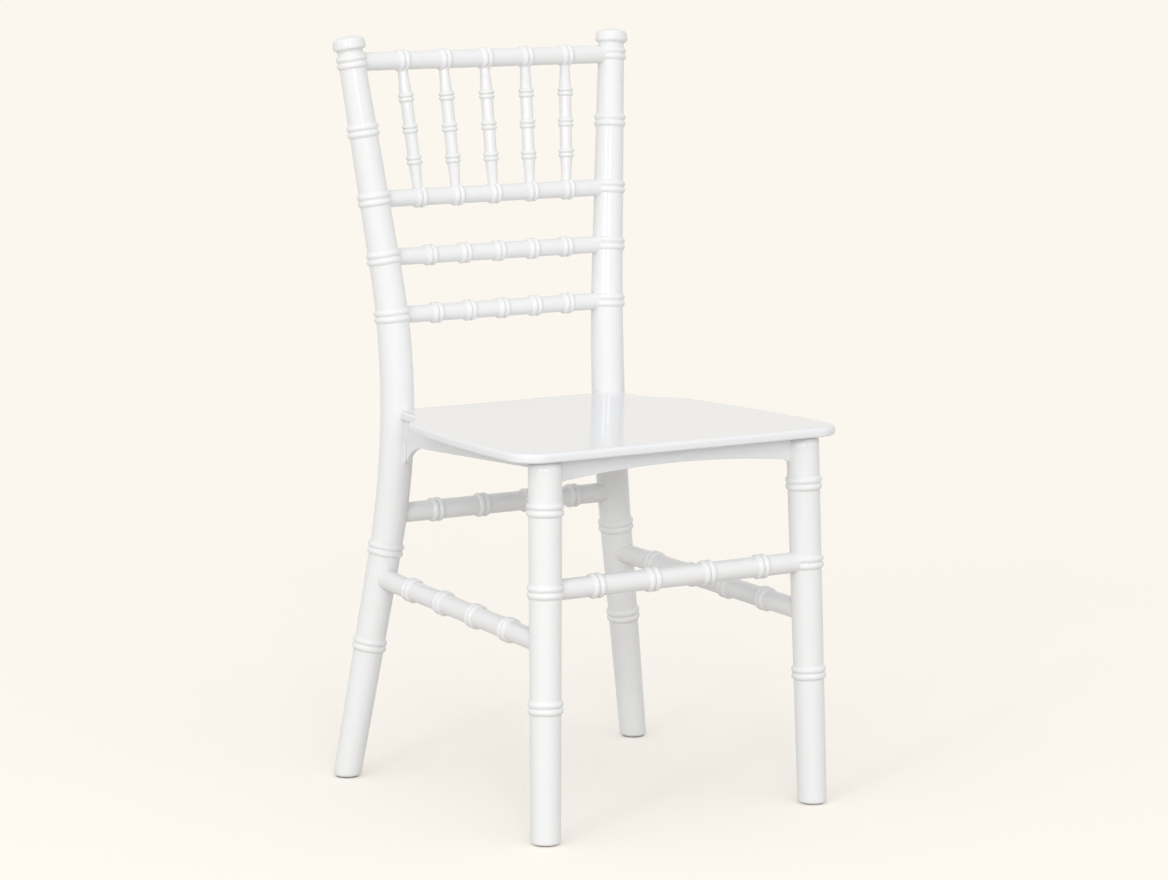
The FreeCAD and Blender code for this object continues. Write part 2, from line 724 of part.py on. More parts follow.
def spindle(number, rail_centre, crest_centre):
    """One turned spindle of the back, with three nodes and ends that taper to the rails."""
    name = "spindle_%d" % number
    offset = number - (size("rail_rings") + 1) / 2
    start = rail_centre + Vector(offset * size("spindle_rail_ring_pitch"), 0, 0)
    end = crest_centre + Vector(offset * size("crest_ring_pitch"), 0, 0)
    way = (end - start).normalize()
    length = worked_out(name + "_length", (end - start).Length)
    thick = sized("spindle_radius")
    thin = sized("spindle_end_radius")
    pitch = sized("spindle_node_pitch")
    profile = [
        (0, 0),
        (thin, 0),
        (thick, length / 2 - pitch),
        (thick, length / 2 + pitch),
        (thin, length),
        (0, length),
    ]
    body = turned_body(name + "_stick", profile)
    node, sketch = double_ring(body, name + "_node", length / 2 - pitch, thick, "spindle")
    repeat(body, name + "_nodes", node, sketch, pitch, measure(SPINDLE_NODES))
    body.Placement = along(start, way)
    depth = sized("spindle_tenon_depth")
    low = sized("rail_radius") - depth
    high = sized("crest_radius") - depth
    tenon_length = length - low - high
    radius = sized("spindle_tenon_radius")
    tenons = rod(name + "_tenons", radius, tenon_length, start + way * low.number, way)
    gap = sized("socket_gap")
    socket_start = start + way * (low.number - gap.number)
    sockets = rod(name + "_sockets", radius + gap, tenon_length + gap * 2, socket_start, way)
    return body, tenons, sockets


# Seat panel


def round_edges(body, name, feature, radius, chosen):
    doc.recompute()
    names = ["Edge%d" % (index + 1) for index, edge in enumerate(feature.Shape.Edges) if chosen(edge)]
    fillet = body.newObject("PartDesign::Fillet", name)
    fillet.Base = (feature, names)
    bind(fillet, "Radius", radius)
    body.Tip = fillet
    return fillet


def upright_edge_at(x, y):
    """Chooser for the two vertical edges at plus and minus x."""

    def chosen(edge):
        box = edge.BoundBox
        flat_on = box.XLength < 1e-6 and box.YLength < 1e-6
        return flat_on and abs(abs(box.XMin) - x) < 1e-3 and abs(box.YMin - y) < 1e-3

    return chosen


def level_edge_at(z):
    def chosen(edge):
        return abs(edge.BoundBox.ZMin - z) < 1e-6 and abs(edge.BoundBox.ZMax - z) < 1e-6

    return chosen


def seat_plate():
    """The plate: bowed sides, round front corners, and a notch and an ear at each rear post."""
    body = new_body("seat_plate")
    sketch = new_sketch(body, "plate_outline", "XY_Plane")
    rear, front = sized("plate_rear_y"), sized("plate_front_y")
    ear = (sized("plate_ear_x"), rear)
    notch = (sized("plate_notch_x"), sized("plate_notch_y"))
    shoulder = (sized("plate_shoulder_x"), sized("plate_shoulder_y"))
    waist = (sized("plate_waist_x"), sized("plate_waist_y"))
    corner = (sized("plate_front_x"), front)

    def left(point):
        return (-point[0], point[1])

    corners = [
        ear,
        left(ear),
        left(notch),
        (*left(shoulder), left(waist)),
        left(corner),
        (*corner, waist),
        shoulder,
        notch,
    ]
    outline(sketch, corners)
    plate = pad(body, "plate", sketch, sized("plate_thickness"))
    front_round = sized("plate_front_corner")
    at_front = upright_edge_at(corner[0].number, front.number)
    rounded = round_edges(body, "front_corners", plate, front_round, at_front)
    at_shoulder = upright_edge_at(shoulder[0].number, shoulder[1].number)
    rounded = round_edges(body, "shoulders", rounded, sized("plate_shoulder_round"), at_shoulder)
    top = level_edge_at(size("plate_thickness"))
    rounded = round_edges(body, "top_edge", rounded, sized("plate_top_edge"), top)
    round_edges(body, "bottom_edge", rounded, sized("plate_bottom_edge"), level_edge_at(0))
    body.Placement = Placement(Vector(0, 0, plate_underside()), Rotation())
    return body


def below_plate(alias):
    """Height of a lower edge over the underside of the plate, from its depth below the seat top."""
    return sized("plate_thickness") - sized(alias)


def apron(name, start, end, corners):
    """A wall under the plate. Its outer face runs from start to end, and the corners are
    (distance from start, height over the underside of the plate)."""
    body = new_body(name)
    sketch = new_sketch(body, name + "_outline")
    outline(sketch, corners)
    pad(body, name + "_wall", sketch, sized("apron_thickness"), True)
    way = end - start
    turn = Rotation(Vector(0, 0, 1), math.degrees(math.atan2(way.y, way.x)))
    body.Placement = Placement(Vector(start.x, start.y, plate_underside()), turn)
    return body


def front_apron(leg_axis, leg_radius):
    face_y = size("plate_front_y") + size("front_apron_setback")
    length = worked_out("front_apron_length", leg_axis.x * 2)
    tip = worked_out("front_apron_tip", leg_radius)
    inner = tip + sized("apron_cusp_length")
    top = sized("plate_thickness") / 2
    cusp, end_edge = below_plate("front_apron_cusp"), below_plate("front_apron_end")
    middle = (length / 2, below_plate("front_apron_middle"))
    corners = [
        (0, top),
        (0, cusp),
        (tip, cusp),
        (inner, end_edge, middle),
        (length - inner, end_edge),
        (length - tip, cusp),
        (length, cusp),
        (length, top),
    ]
    start = Vector(-leg_axis.x, face_y, 0)
    return apron("front_apron", start, Vector(leg_axis.x, face_y, 0), corners)


def side_apron(leg_axis, post_axis, leg_radius, post_radius):
    """Right side apron: shallow at the front leg, with a curved gusset at the rear post."""
    span = math.hypot(post_axis.x - leg_axis.x, post_axis.y - leg_axis.y)
    length = worked_out("side_apron_length", span)
    tip = worked_out("side_apron_tip", leg_radius)
    gusset_tip = length - worked_out("side_apron_gusset_tip", post_radius)
    gusset_start = length - sized("gusset_length")
    top = sized("plate_thickness") / 2
    cusp, low = below_plate("side_apron_cusp"), below_plate("side_apron_gusset")
    rear = below_plate("side_apron_rear")
    bow = ((gusset_start + gusset_tip) / 2, (rear + low) / 2 + sized("gusset_bow"))
    corners = [
        (0, top),
        (0, cusp),
        (tip, cusp),
        (tip + sized("apron_cusp_length"), below_plate("side_apron_front")),
        (gusset_start, rear, bow),
        (gusset_tip, low),
        (length, low),
        (length, top),
    ]
    return apron("right_side_apron", leg_axis, post_axis, corners)


def rear_apron(post_axis):
    face_y = size("plate_rear_y") - size("rear_apron_setback")
    length = worked_out("rear_apron_length", post_axis.x * 2)
    top = sized("plate_thickness") / 2
    low = below_plate("rear_apron_depth")
    corners = [(0, top), (0, low), (length, low), (length, top)]
    start = Vector(post_axis.x, face_y, 0)
    return apron("rear_apron", start, Vector(-post_axis.x, face_y, 0), corners)


class CornerJoint:
    """Where the seat panel is bolted to one right-hand upright."""

    def __init__(self, name, axis, corner, first_way, second_way, upright_radius):
        self.name = name
        self.axis = axis
        self.corner = corner
        self.upright_radius = upright_radius
        self.first_way = first_way
        self.second_way = second_way
        self.inward = (first_way + second_way).normalize()
        reach = size("block_reach") - (corner - axis).dot(self.inward)
        self.leg = reach / first_way.dot(self.inward)

    def block(self):
        """Three-cornered block in the angle of two aprons, with its open face square to the bolt."""
        body = new_body(self.name + "_block")
        sketch = new_sketch(body, self.name + "_block_outline", "XY_Plane")
        first_end = self.corner + self.first_way * self.leg
        second_end = self.corner + self.second_way * self.leg
        corners = []
        for number, point in enumerate((self.corner, first_end, second_end)):
            label = "%s_block_%d" % (self.name, number)
            corners.append((worked_out(label + "_x", point.x), worked_out(label + "_y", point.y)))
        outline(sketch, corners)
        depth = sized("block_depth") - sized("plate_thickness") / 2
        pad(body, self.name + "_block_pad", sketch, depth)
        low = size("seat_height") - size("block_depth")
        body.Placement = Placement(Vector(0, 0, low), Rotation())
        return body

    def on_bolt(self, side, distance):
        """A point on the bolt's line, at a distance from the axis of the upright."""
        return sided(self.axis + self.inward * distance, side)


def ribs(leg_axis, post_axis):
    """Shallow ribs under the plate, three along the chair and three across it."""
    thickness, depth = sized("rib_thickness"), sized("rib_depth")
    wall = size("apron_thickness") / 2
    front = size("plate_front_y") + size("front_apron_setback") + wall
    rear = size("plate_rear_y") - size("rear_apron_setback") - wall
    low = plate_underside() - depth.number
    made = []
    for number in (-1, 0, 1):
        offset = number * size("rib_spacing")
        lengthwise = doc.addObject("Part::Box", "long_rib_%d" % (number + 2))
        bind(lengthwise, "Length", thickness)
        bind(lengthwise, "Width", worked_out("long_rib_length_%d" % (number + 2), rear - front))
        corner = Vector(offset - thickness.number / 2, front, low)
        lengthwise.Placement = Placement(corner, Rotation())
        cross_y = (front + rear) / 2 + offset
        share = (cross_y - leg_axis.y) / (post_axis.y - leg_axis.y)
        half = leg_axis.x + (post_axis.x - leg_axis.x) * share - wall
        crosswise = doc.addObject("Part::Box", "cross_rib_%d" % (number + 2))
        bind(crosswise, "Length", worked_out("cross_rib_length_%d" % (number + 2), half * 2))
        bind(crosswise, "Width", thickness)
        corner = Vector(-half, cross_y - thickness.number / 2, low)
        crosswise.Placement = Placement(corner, Rotation())
        for rib in (lengthwise, crosswise):
            bind(rib, "Height", depth + thickness / 2)
            made.append(rib)
    return made


# Corner fasteners and foot glides


def corner_bolt(name, joint, side):
    """Socket-head bolt, from inside the seat into the insert of an upright."""
    shank, length = sized("bolt_radius"), sized("bolt_length")
    head, height = sized("bolt_head_radius"), sized("bolt_head_height")
    end = length + height
    profile = [(0, 0), (shank, 0), (shank, length), (head, length), (head, end), (0, end)]
    body = turned_body(name + "_stick", profile)
    seat = size("block_reach") + size("washer_thickness")
    start = joint.on_bolt(side, seat - length.number)
    way = sided(joint.inward, side)
    body.Placement = along(start, way)
    key = doc.addObject("Part::Prism", name + "_key")
    key.Polygon = 6
    bind(key, "Circumradius", sized("bolt_hex") / math.sqrt(3))
    bind(key, "Height", sized("bolt_hex_depth") * 2)
    key_start = joint.on_bolt(side, seat + height.number - size("bolt_hex_depth"))
    key.Placement = along(key_start, way)
    return cut(name, body, key)


def ring_body(name, inner, outer, length, start, way):
    body = turned_body(name, [(inner, 0), (outer, 0), (outer, length), (inner, length)])
    body.Placement = along(start, way)
    return body


def washer(name, joint, side):
    inner = sized("bolt_radius") + sized("joint_gap")
    start = joint.on_bolt(side, size("block_reach"))
    way = sided(joint.inward, side)
    return ring_body(name, inner, sized("washer_radius"), sized("washer_thickness"), start, way)


def threaded_insert(name, joint, side):
    inner = sized("bolt_radius") + sized("socket_gap")
    start = joint.on_bolt(side, insert_bottom(joint))
    way = sided(joint.inward, side)
    return ring_body(name, inner, sized("insert_radius"), sized("insert_length"), start, way)


def insert_bottom(joint):
    """Inner end of an insert, whose outer end is just under the surface of the upright."""
    return joint.upright_radius - size("insert_sink") - size("insert_length")


def insert_hole(name, joint, side):
    """Blind hole in an upright for the insert, with a narrower end for the tip of the bolt."""
    gap = sized("socket_gap")
    start = joint.on_bolt(side, insert_bottom(joint))
    way = sided(joint.inward, side)
    reach = sized("insert_length") + sized("insert_radius")
    wide = rod(name + "_wide", sized("insert_radius") + gap, reach, start, way)
    tip = size("block_reach") + size("washer_thickness") - size("bolt_length")
    tip_start = joint.on_bolt(side, tip - size("bolt_tip_room"))
    shank = sized("bolt_radius") + gap
    narrow = rod(name + "_narrow", shank, reach, tip_start, way)
    return wide, narrow


def bolt_hole(name, joint, side):
    """Clearance hole for a bolt through a corner block."""
    start = joint.on_bolt(side, joint.upright_radius - size("insert_radius"))
    way = sided(joint.inward, side)
    return rod(name, sized("bolt_radius") + sized("joint_gap"), sized("block_reach"), start, way)


def group(name, members):
    compound = doc.addObject("Part::Compound", name)
    compound.Links = list(members)
    return compound


def foot_glide(name, path, side):
    """Round pad with a stem that presses into the foot of an upright."""
    wide, narrow = sized("glide_radius"), sized("glide_stem_radius")
    pad_top = sized("glide_thickness")
    top = pad_top + sized("glide_stem_length")
    profile = [(0, 0), (wide, 0), (wide, pad_top), (narrow, pad_top), (narrow, top), (0, top)]
    body = turned_body(name, profile)
    foot = sided(path.foot, side)
    body.Placement = Placement(Vector(foot.x, foot.y, 0), Rotation())
    return body


# The whole chair


def build_chair():
    post, leg = RearPost(), FrontLeg()
    plain_posts = mirrored_pair("plain_post", post_pole(post, 0))
    clear_posts = mirrored_pair("clear_post", post_pole(post, size("joint_gap")))
    clear_legs = mirrored_pair("clear_leg", clear_leg(leg))

    rail, crest = sized("rail_radius"), sized("crest_radius")
    stretcher = sized("stretcher_radius")
    back_members = (
        ("crest_rail", "crest", crest, "rail"),
        ("spindle_rail", "spindle_rail", rail, "rail"),
        ("upper_back_rail", "upper_rail", rail, "rail"),
        ("lower_back_rail", "lower_rail", rail, "rail"),
        ("rear_stretcher", "rear_stretcher", stretcher, "stretcher"),
    )
    made = {}
    for name, prefix, radius, family in back_members:
        made[name] = cross_member(name, prefix, post, radius, family)
    front = cross_member("front_stretcher", "front_stretcher", leg, stretcher, "stretcher")

    spindles = build_spindles(post)
    spindle_sockets = [sockets for _, _, sockets in spindles]
    for name, (body, tenons, _, _) in made.items():
        whole = fuse(name + "_whole", cut(name + "_coped", body, *clear_posts), tenons)
        if name in ("crest_rail", "spindle_rail"):
            whole = cut(name + "_drilled", whole, *spindle_sockets)
        finish(whole, name)
    front_coped = cut("front_stretcher_coped", front[0], *clear_legs)
    finish(fuse("front_stretcher_whole", front_coped, front[1]), "front_stretcher")

    joints = corner_joints(post, leg)
    panel_parts = seat_parts(post, leg, joints)
    holes, inserts, washers, bolts = [], [], [], []
    post_blanks = mirrored_pair("post_blank", rear_post_shape(post))
    back_sockets = [member[2] for member in made.values()]
    back_clearings = [member[3] for member in made.values()]
    for index, (word, side) in enumerate(SIDES):
        stretcher_name = word + "_side_stretcher"
        body, tenons, sockets, clearing = side_stretcher(stretcher_name, side, post, leg)
        coped = cut(stretcher_name + "_coped", body, clear_posts[index], clear_legs[index])
        finish(fuse(stretcher_name + "_whole", coped, tenons), stretcher_name)

        post_holes = insert_hole(word + "_post_hole", joints["post"], side)
        leg_holes = insert_hole(word + "_leg_hole", joints["leg"], side)
        post_rods = fuse(word + "_post_rods", clearing, *back_clearings)
        beads_off = cut(word + "_post_clearings", post_rods, plain_posts[index])
        post_cut = cut(word + "_post_cut", post_blanks[index], beads_off, sockets, *back_sockets, *post_holes)
        finish(post_cut, word + "_rear_post")

        stick = leg_stick(word + "_leg_stick", leg, side)
        blank = cut(word + "_leg_blank", stick, *flat_cutters(word + "_leg", leg, side))
        rounded = foot_rounding(word + "_leg_rounded", blank)
        plain = own_shape(word + "_plain_leg", plain_leg(leg, side, 0))
        leg_clearing = cut(word + "_leg_clearings", fuse(word + "_leg_rods", clearing, front[3]), plain)
        glide_hole = own_shape(word + "_leg_glide_hole", mirrored(glide_socket(leg), side))
        leg_cut = cut(word + "_leg_cut", rounded, leg_clearing, glide_hole, sockets, front[2], *leg_holes)
        finish(leg_cut, word + "_front_leg")

        for place, joint in joints.items():
            label = "%s_%s" % (word, place)
            bolts.append(corner_bolt(label + "_bolt", joint, side))
            washers.append(washer(label + "_washer", joint, side))
            inserts.append(threaded_insert(label + "_insert", joint, side))
            holes.append(bolt_hole(label + "_bolt_hole", joint, side))
        finish(foot_glide(word + "_front_pad", leg, side), word + "_front_glide")
        finish(foot_glide(word + "_rear_pad", post, side), word + "_rear_glide")

    panel = fuse("seat_moulding", *panel_parts)
    finish(cut("seat_panel_cut", panel, *clear_posts, *clear_legs, *holes), "seat_panel")
    finish(group("bolts", bolts), "corner_bolts")
    finish(group("washers", washers), "corner_washers")
    finish(group("inserts", inserts), "threaded_inserts")


def mirrored(shape, side):
    """A shape made for the right side, on the left (-1) or right (+1) side."""
    return shape if side > 0 else shape.mirror(Vector(0, 0, 0), Vector(1, 0, 0))


def mirrored_pair(name, shape):
    return [own_shape(word + "_" + name, mirrored(shape, side)) for word, side in SIDES]


def plain_leg(leg, side, growth):
    """The leg without rings, up to the underside of the plate."""
    start = leg.point(-FLOOR_MARGIN)
    end = leg.point(leg.top.z + FLOOR_MARGIN)
    stick = tapered(start, end, leg.radius(start.z) + growth, leg.radius(end.z) + growth)
    reach = 4 * size("leg_top_radius")
    above = Part.makeBox(reach, reach, reach, Vector(leg.top.x - reach / 2, leg.top.y - reach / 2, leg.top.z))
    return mirrored(stick.cut(above), side)


def clear_leg(leg):
    return plain_leg(leg, 1, size("joint_gap"))


def build_spindles(post):
    """All spindles of the back, each coped to both rails and given its tenons."""
    rail_centre = post.point(size("spindle_rail_height"))
    crest_centre = post.point(size("crest_height"))
    rail_centre.x = 0
    crest_centre.x = 0
    rise = sized("rail_bead_rise") + sized("joint_gap")
    around = []
    for name, centre, radius, path_x in (
        ("around_spindle_rail", rail_centre, sized("rail_radius") + rise, post.point(rail_centre.z).x),
        ("around_crest_rail", crest_centre, sized("crest_radius") + rise, post.point(crest_centre.z).x),
    ):
        start = Vector(-path_x, centre.y, centre.z)
        around.append(rod(name, radius, worked_out(name + "_length", path_x * 2), start, Vector(1, 0, 0)))
    made = []
    for number in range(1, int(size("rail_rings")) + 1):
        body, tenons, sockets = spindle(number, rail_centre, crest_centre)
        coped = cut("spindle_%d_coped" % number, body, *around)
        finish(fuse("spindle_%d_whole" % number, coped, tenons), "spindle_%d" % number)
        made.append((body, tenons, sockets))
    return made


def corner_joints(post, leg):
    """The two joints of the right side. The left side mirrors them."""
    height = size("seat_height") - size("bolt_drop")
    leg_axis, post_axis = leg.point(height), post.point(height)
    along_side = Vector(post_axis.x - leg_axis.x, post_axis.y - leg_axis.y, 0).normalize()
    front_corner = Vector(leg_axis.x, size("plate_front_y") + size("front_apron_setback"), height)
    rear_face = size("plate_rear_y") - size("rear_apron_setback")
    rear_corner = post_axis + along_side * ((rear_face - post_axis.y) / along_side.y)
    inward = Vector(-1, 0, 0)
    return {
        "leg": CornerJoint("leg", leg_axis, front_corner, inward, along_side, leg.radius(height)),
        "post": CornerJoint("post", post_axis, rear_corner, inward, along_side * -1, post.radius(height)),
    }


def seat_parts(post, leg, joints):
    """Plate, aprons, corner blocks and ribs, which are moulded as one piece."""
    level = plate_underside()
    leg_axis, post_axis = leg.point(level), post.point(level)
    right_apron = side_apron(leg_axis, post_axis, leg.radius(level), post.radius(level))
    blocks = [joint.block() for joint in joints.values()]
    parts = [seat_plate(), front_apron(leg_axis, leg.radius(level)), rear_apron(post_axis)]
    parts += ribs(leg_axis, post_axis)
    for item in [right_apron] + blocks:
        other = doc.addObject("Part::Mirroring", item.Name + "_left")
        other.Source = item
        other.Normal = Vector(1, 0, 0)
        parts += [item, other]
    return parts


def check_and_write():
    """Stop on any failed object, then write each sub-part under its node's name."""
    doc.recompute()
    failed = [item.Name for item in doc.Objects if {"Invalid", "Error"} & set(item.State)]
    if failed:
        raise RuntimeError("failed objects: " + ", ".join(failed))
    os.makedirs("parts", exist_ok=True)
    for item in finished:
        shape = item.Shape
        if shape.isNull() or not shape.isValid() or not shape.Solids:
            raise RuntimeError("bad shape: " + item.Label)
        shape.exportStep("parts/%s.step" % item.Label)
        print(item.Label, "solids", len(shape.Solids), "volume", round(shape.Volume, 1))


for alias, value, meaning in SIZES:
    write_size(alias, value, meaning)
doc.recompute()
build_chair()
check_and_write()
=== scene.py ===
"""Looks of a child-size chiavari chair in glossy white resin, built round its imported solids."""

import math

import bmesh
import bpy
from bpy.props import FloatProperty, FloatVectorProperty, IntProperty, PointerProperty
from mathutils import Matrix, Vector


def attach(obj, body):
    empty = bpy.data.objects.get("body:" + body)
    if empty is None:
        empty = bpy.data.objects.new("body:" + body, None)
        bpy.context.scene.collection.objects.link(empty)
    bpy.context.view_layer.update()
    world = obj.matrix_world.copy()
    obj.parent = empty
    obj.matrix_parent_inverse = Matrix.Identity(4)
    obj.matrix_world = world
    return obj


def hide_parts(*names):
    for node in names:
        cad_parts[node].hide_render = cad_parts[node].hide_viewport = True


bl_info = {
    "name": "Chiavari Chair Looks",
    "version": (1, 0, 0),
    "blender": (4, 5, 0),
    "location": "View3D > Sidebar > Chair",
    "description": "Turned resin members, seat panel, hardware finishes and studio of a chiavari chair",
    "category": "Object",
}

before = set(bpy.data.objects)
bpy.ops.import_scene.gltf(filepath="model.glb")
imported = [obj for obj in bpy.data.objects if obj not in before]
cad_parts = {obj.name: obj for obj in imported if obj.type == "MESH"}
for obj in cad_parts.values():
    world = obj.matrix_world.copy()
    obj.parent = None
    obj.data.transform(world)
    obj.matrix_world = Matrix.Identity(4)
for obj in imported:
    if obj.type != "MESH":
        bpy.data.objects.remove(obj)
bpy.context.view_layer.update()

# Sizes are in millimetres here and in metres on the meshes.
MM = 0.001
SIDES = (("left", -1), ("right", 1))


# Sizes and colours that a user would change


class ResinSettings(bpy.types.PropertyGroup):
    colour: FloatVectorProperty(
        name="Resin", description="Colour of the moulded resin", subtype="COLOR",
        default=(0.858, 0.861, 0.868), min=0, max=1)
    seat_colour: FloatVectorProperty(
        name="Seat resin", description="Colour of the resin of the seat", subtype="COLOR",
        default=(0.845, 0.856, 0.878), min=0, max=1)
    clouding: FloatProperty(
        name="Clouding", description="How much duller the clouded spots of the resin are",
        default=0.018, min=0, max=1)
    roughness: FloatProperty(
        name="Roughness", description="Roughness of the moulded surface", default=0.13, min=0, max=1)
    seat_roughness: FloatProperty(
        name="Seat roughness", description="Roughness of the seat, which is shinier", default=0.14,
        min=0, max=1)
    coat: FloatProperty(
        name="Skin gloss", description="Clear glossy skin of the moulding", default=0.1, min=0,
        max=1)


class MemberSettings(bpy.types.PropertyGroup):
    bead_rise: FloatProperty(
        name="Upright bead", description="How far a bead stands out on an upright", unit="LENGTH",
        default=1.75 * MM)
    rail_bead_rise: FloatProperty(
        name="Rail bead", description="How far a bead stands out on a rail or stretcher",
        unit="LENGTH", default=1.75 * MM)
    joint_flare: FloatProperty(
        name="Joint flare", description="Rounded rim where a rail meets its upright", unit="LENGTH",
        default=0.8 * MM)
    facets: IntProperty(
        name="Facets", description="Faces round an upright", default=56, min=16, max=128)


class SeatSettings(bpy.types.PropertyGroup):
    height: FloatProperty(
        name="Seat height", description="Top of the seat plate", unit="LENGTH", default=306.5 * MM)
    thickness: FloatProperty(
        name="Plate", description="Thickness of the seat plate", unit="LENGTH", default=7.5 * MM)
    top_edge: FloatProperty(
        name="Top edge", description="Rounding of the upper edge of the plate", unit="LENGTH",
        default=3.2 * MM)
    bottom_edge: FloatProperty(
        name="Bottom edge", description="Rounding of the lower edge of the plate", unit="LENGTH",
        default=1.8 * MM)


class StageSettings(bpy.types.PropertyGroup):
    backdrop: FloatVectorProperty(
        name="Backdrop", description="Colour of the floor and backdrop", subtype="COLOR",
        default=(0.965, 0.930, 0.863), min=0, max=1)
    floor_glow: FloatProperty(
        name="Floor glow", default=0.265, min=0, max=1,
        description="How pale the floor looks on top of the light that falls on it")
    sky: FloatProperty(
        name="Studio light", description="Strength of the light from all round", default=0.5, min=0)
    front_sky: FloatProperty(
        name="Light from the front", description="Extra light from the camera's side", default=0.9,
        min=0)
    top_sky: FloatProperty(
        name="Light from above", description="Extra light from above", default=0.22, min=0)
    key: FloatProperty(
        name="Key lamps", description="Power of the two soft lamps together", default=28.0, min=0)


# Outlines and paths


def arc_points(start, bow, end, steps):
    """Points after start on the arc from start through bow to end, in a plane."""
    a, b, c = (Vector(point) for point in (start, bow, end))
    ab, cb = b - a, b - c
    turn = 2 * (ab.x * cb.y - ab.y * cb.x)
    length_a, length_c = b.dot(b) - a.dot(a), b.dot(b) - c.dot(c)
    centre = Vector((length_a * cb.y - ab.y * length_c, ab.x * length_c - length_a * cb.x)) / turn
    first = math.atan2(a.y - centre.y, a.x - centre.x)
    middle = math.atan2(b.y - centre.y, b.x - centre.x)
    last = math.atan2(c.y - centre.y, c.x - centre.x)
    half = math.remainder(middle - first, math.tau)
    sweep = half + math.remainder(last - middle, math.tau)
    radius = (a - centre).length
    angles = [first + sweep * step / steps for step in range(1, steps + 1)]
    return [(centre.x + radius * math.cos(t), centre.y + radius * math.sin(t)) for t in angles]


def smooth_max(one, other, blend):
    """The larger number, rounded off where the two come within blend of each other."""
    overlap = max(blend - abs(one - other), 0) / blend
    return max(one, other) + overlap * overlap * blend / 4


def smooth_step(share):
    """A share from 0 to 1 that starts and ends level."""
    share = min(max(share, 0.0), 1.0)
    return share * share * (3 - 2 * share)


# Heights of the members and of the rings of the uprights
CREST, SPINDLE_RAIL, UPPER_RAIL, LOWER_RAIL = 588.5, 477.4, 430.0, 382.8
FRONT_STRETCHER, REAR_STRETCHER = 197.2, 219.5
POST_RINGS = (CREST, 532.9, SPINDLE_RAIL, UPPER_RAIL, LOWER_RAIL, 190.9, 111.2)
LEG_RINGS = (260.7, FRONT_STRETCHER, 107.2)
# How far below the floor an upright's axis begins, before its foot is cut off flat
BELOW_FLOOR = 12.0


class Straight:
    """A straight axis between two points, with a radius that runs evenly from end to end."""

    def __init__(self, start, end, start_radius, end_radius):
        self.start, self.end = Vector(start), Vector(end)
        self.length = (self.end - self.start).length
        self.direction = (self.end - self.start).normalized()
        self.radii = (start_radius, end_radius)

    def point(self, reach):
        return self.start + self.direction * reach

    def way(self, reach):
        return self.direction

    def radius(self, reach):
        share = reach / self.length
        return self.radii[0] * (1 - share) + self.radii[1] * share

    def reach(self, height):
        """How far along the axis this height lies."""
        return (height - self.start.z) / self.direction.z


class BentPost:
    """Right rear post: two straight stretches with a wide bend at the seat."""

    # From the elbow, where the two stretches would meet, to each end of the bend
    BEND_REACH = 115.0
    # At the foot, the start, middle and end of the bend, and the top
    RADII = (11.3, 13.4, 14.0, 13.0, 11.1)
    EXACT = 1e-4

    def __init__(self):
        foot, elbow = Vector((143.1, 130.0, 0)), Vector((96.5, 107.4, 305.0))
        top = Vector((126.7, 146.4, CREST))
        lower, upper = (elbow - foot).normalized(), (top - elbow).normalized()
        turn = lower.angle(upper)
        self.lower, self.upper, self.turn = lower, upper, turn
        self.bend_radius = self.BEND_REACH / math.tan(turn / 2)
        self.across = (upper - lower * lower.dot(upper)).normalized()
        self.bend_start = elbow - lower * self.BEND_REACH
        self.bend_end = elbow + upper * self.BEND_REACH
        self.start = foot - lower * (BELOW_FLOOR / lower.z)
        self.bend_centre = self.bend_start + self.across * self.bend_radius
        self.stretches = (
            (self.bend_start - self.start).length,
            self.bend_radius * turn,
            (top - self.bend_end).length,
        )
        self.length = sum(self.stretches)

    def point(self, reach):
        first, bend, _ = self.stretches
        if reach <= first:
            return self.start + self.lower * reach
        if reach >= first + bend:
            return self.bend_end + self.upper * (reach - first - bend)
        angle = (reach - first) / self.bend_radius
        out = self.across * -math.cos(angle) + self.lower * math.sin(angle)
        return self.bend_centre + out * self.bend_radius

    def way(self, reach):
        angle = min(max((reach - self.stretches[0]) / self.bend_radius, 0), self.turn)
        return self.across * math.sin(angle) + self.lower * math.cos(angle)

    def radius(self, reach):
        first, bend, last = self.stretches
        foot, low, seat, high, top = self.RADII
        if reach <= first:
            share = reach / first
            return foot * (1 - share) + low * share
        if reach >= first + bend:
            share = (reach - first - bend) / last
            return high * (1 - share) + top * share
        share = (reach - first) / bend
        swell = seat * 4 * share * (1 - share)
        return low * (1 - share) * (1 - 2 * share) + swell + high * share * (2 * share - 1)

    def reach(self, height):
        """How far along the bent axis this height lies."""
        low, high = 0.0, self.length
        while high - low > self.EXACT:
            middle = (low + high) / 2
            if self.point(middle).z < height:
                low = middle
            else:
                high = middle
        return (low + high) / 2


POST = BentPost()

PLATE_UNDERSIDE = 299.0
INTO_PLATE = 2.0
LEG_FOOT, LEG_TOP = Vector((128.1, -150.2, 0)), Vector((122.3, -138.2, PLATE_UNDERSIDE))
LEG_SLOPE = (LEG_TOP - LEG_FOOT) / PLATE_UNDERSIDE
LEG_RADII = (11.84, 13.31)
LEG = Straight(LEG_FOOT - LEG_SLOPE * BELOW_FLOOR, LEG_TOP + LEG_SLOPE * INTO_PLATE, *LEG_RADII)

# Distances between spindles, and so between rings, on the rails above and below them
CREST_PITCH, SPINDLE_RAIL_PITCH = 39.9, 36.2
STRETCHER_RADIUS = 8.3

# A ring is two beads: the radius of each, how far apart they are, and how softly they run into
# the stick
UPRIGHT_BEAD = (2.7, 5.4, 1.6)
RAIL_BEAD = (2.4, 4.7, 0.9)
STRETCHER_BEAD = (2.7, 5.5, 0.9)
SPINDLE_BEAD = (1.9, 3.8, 0.7)

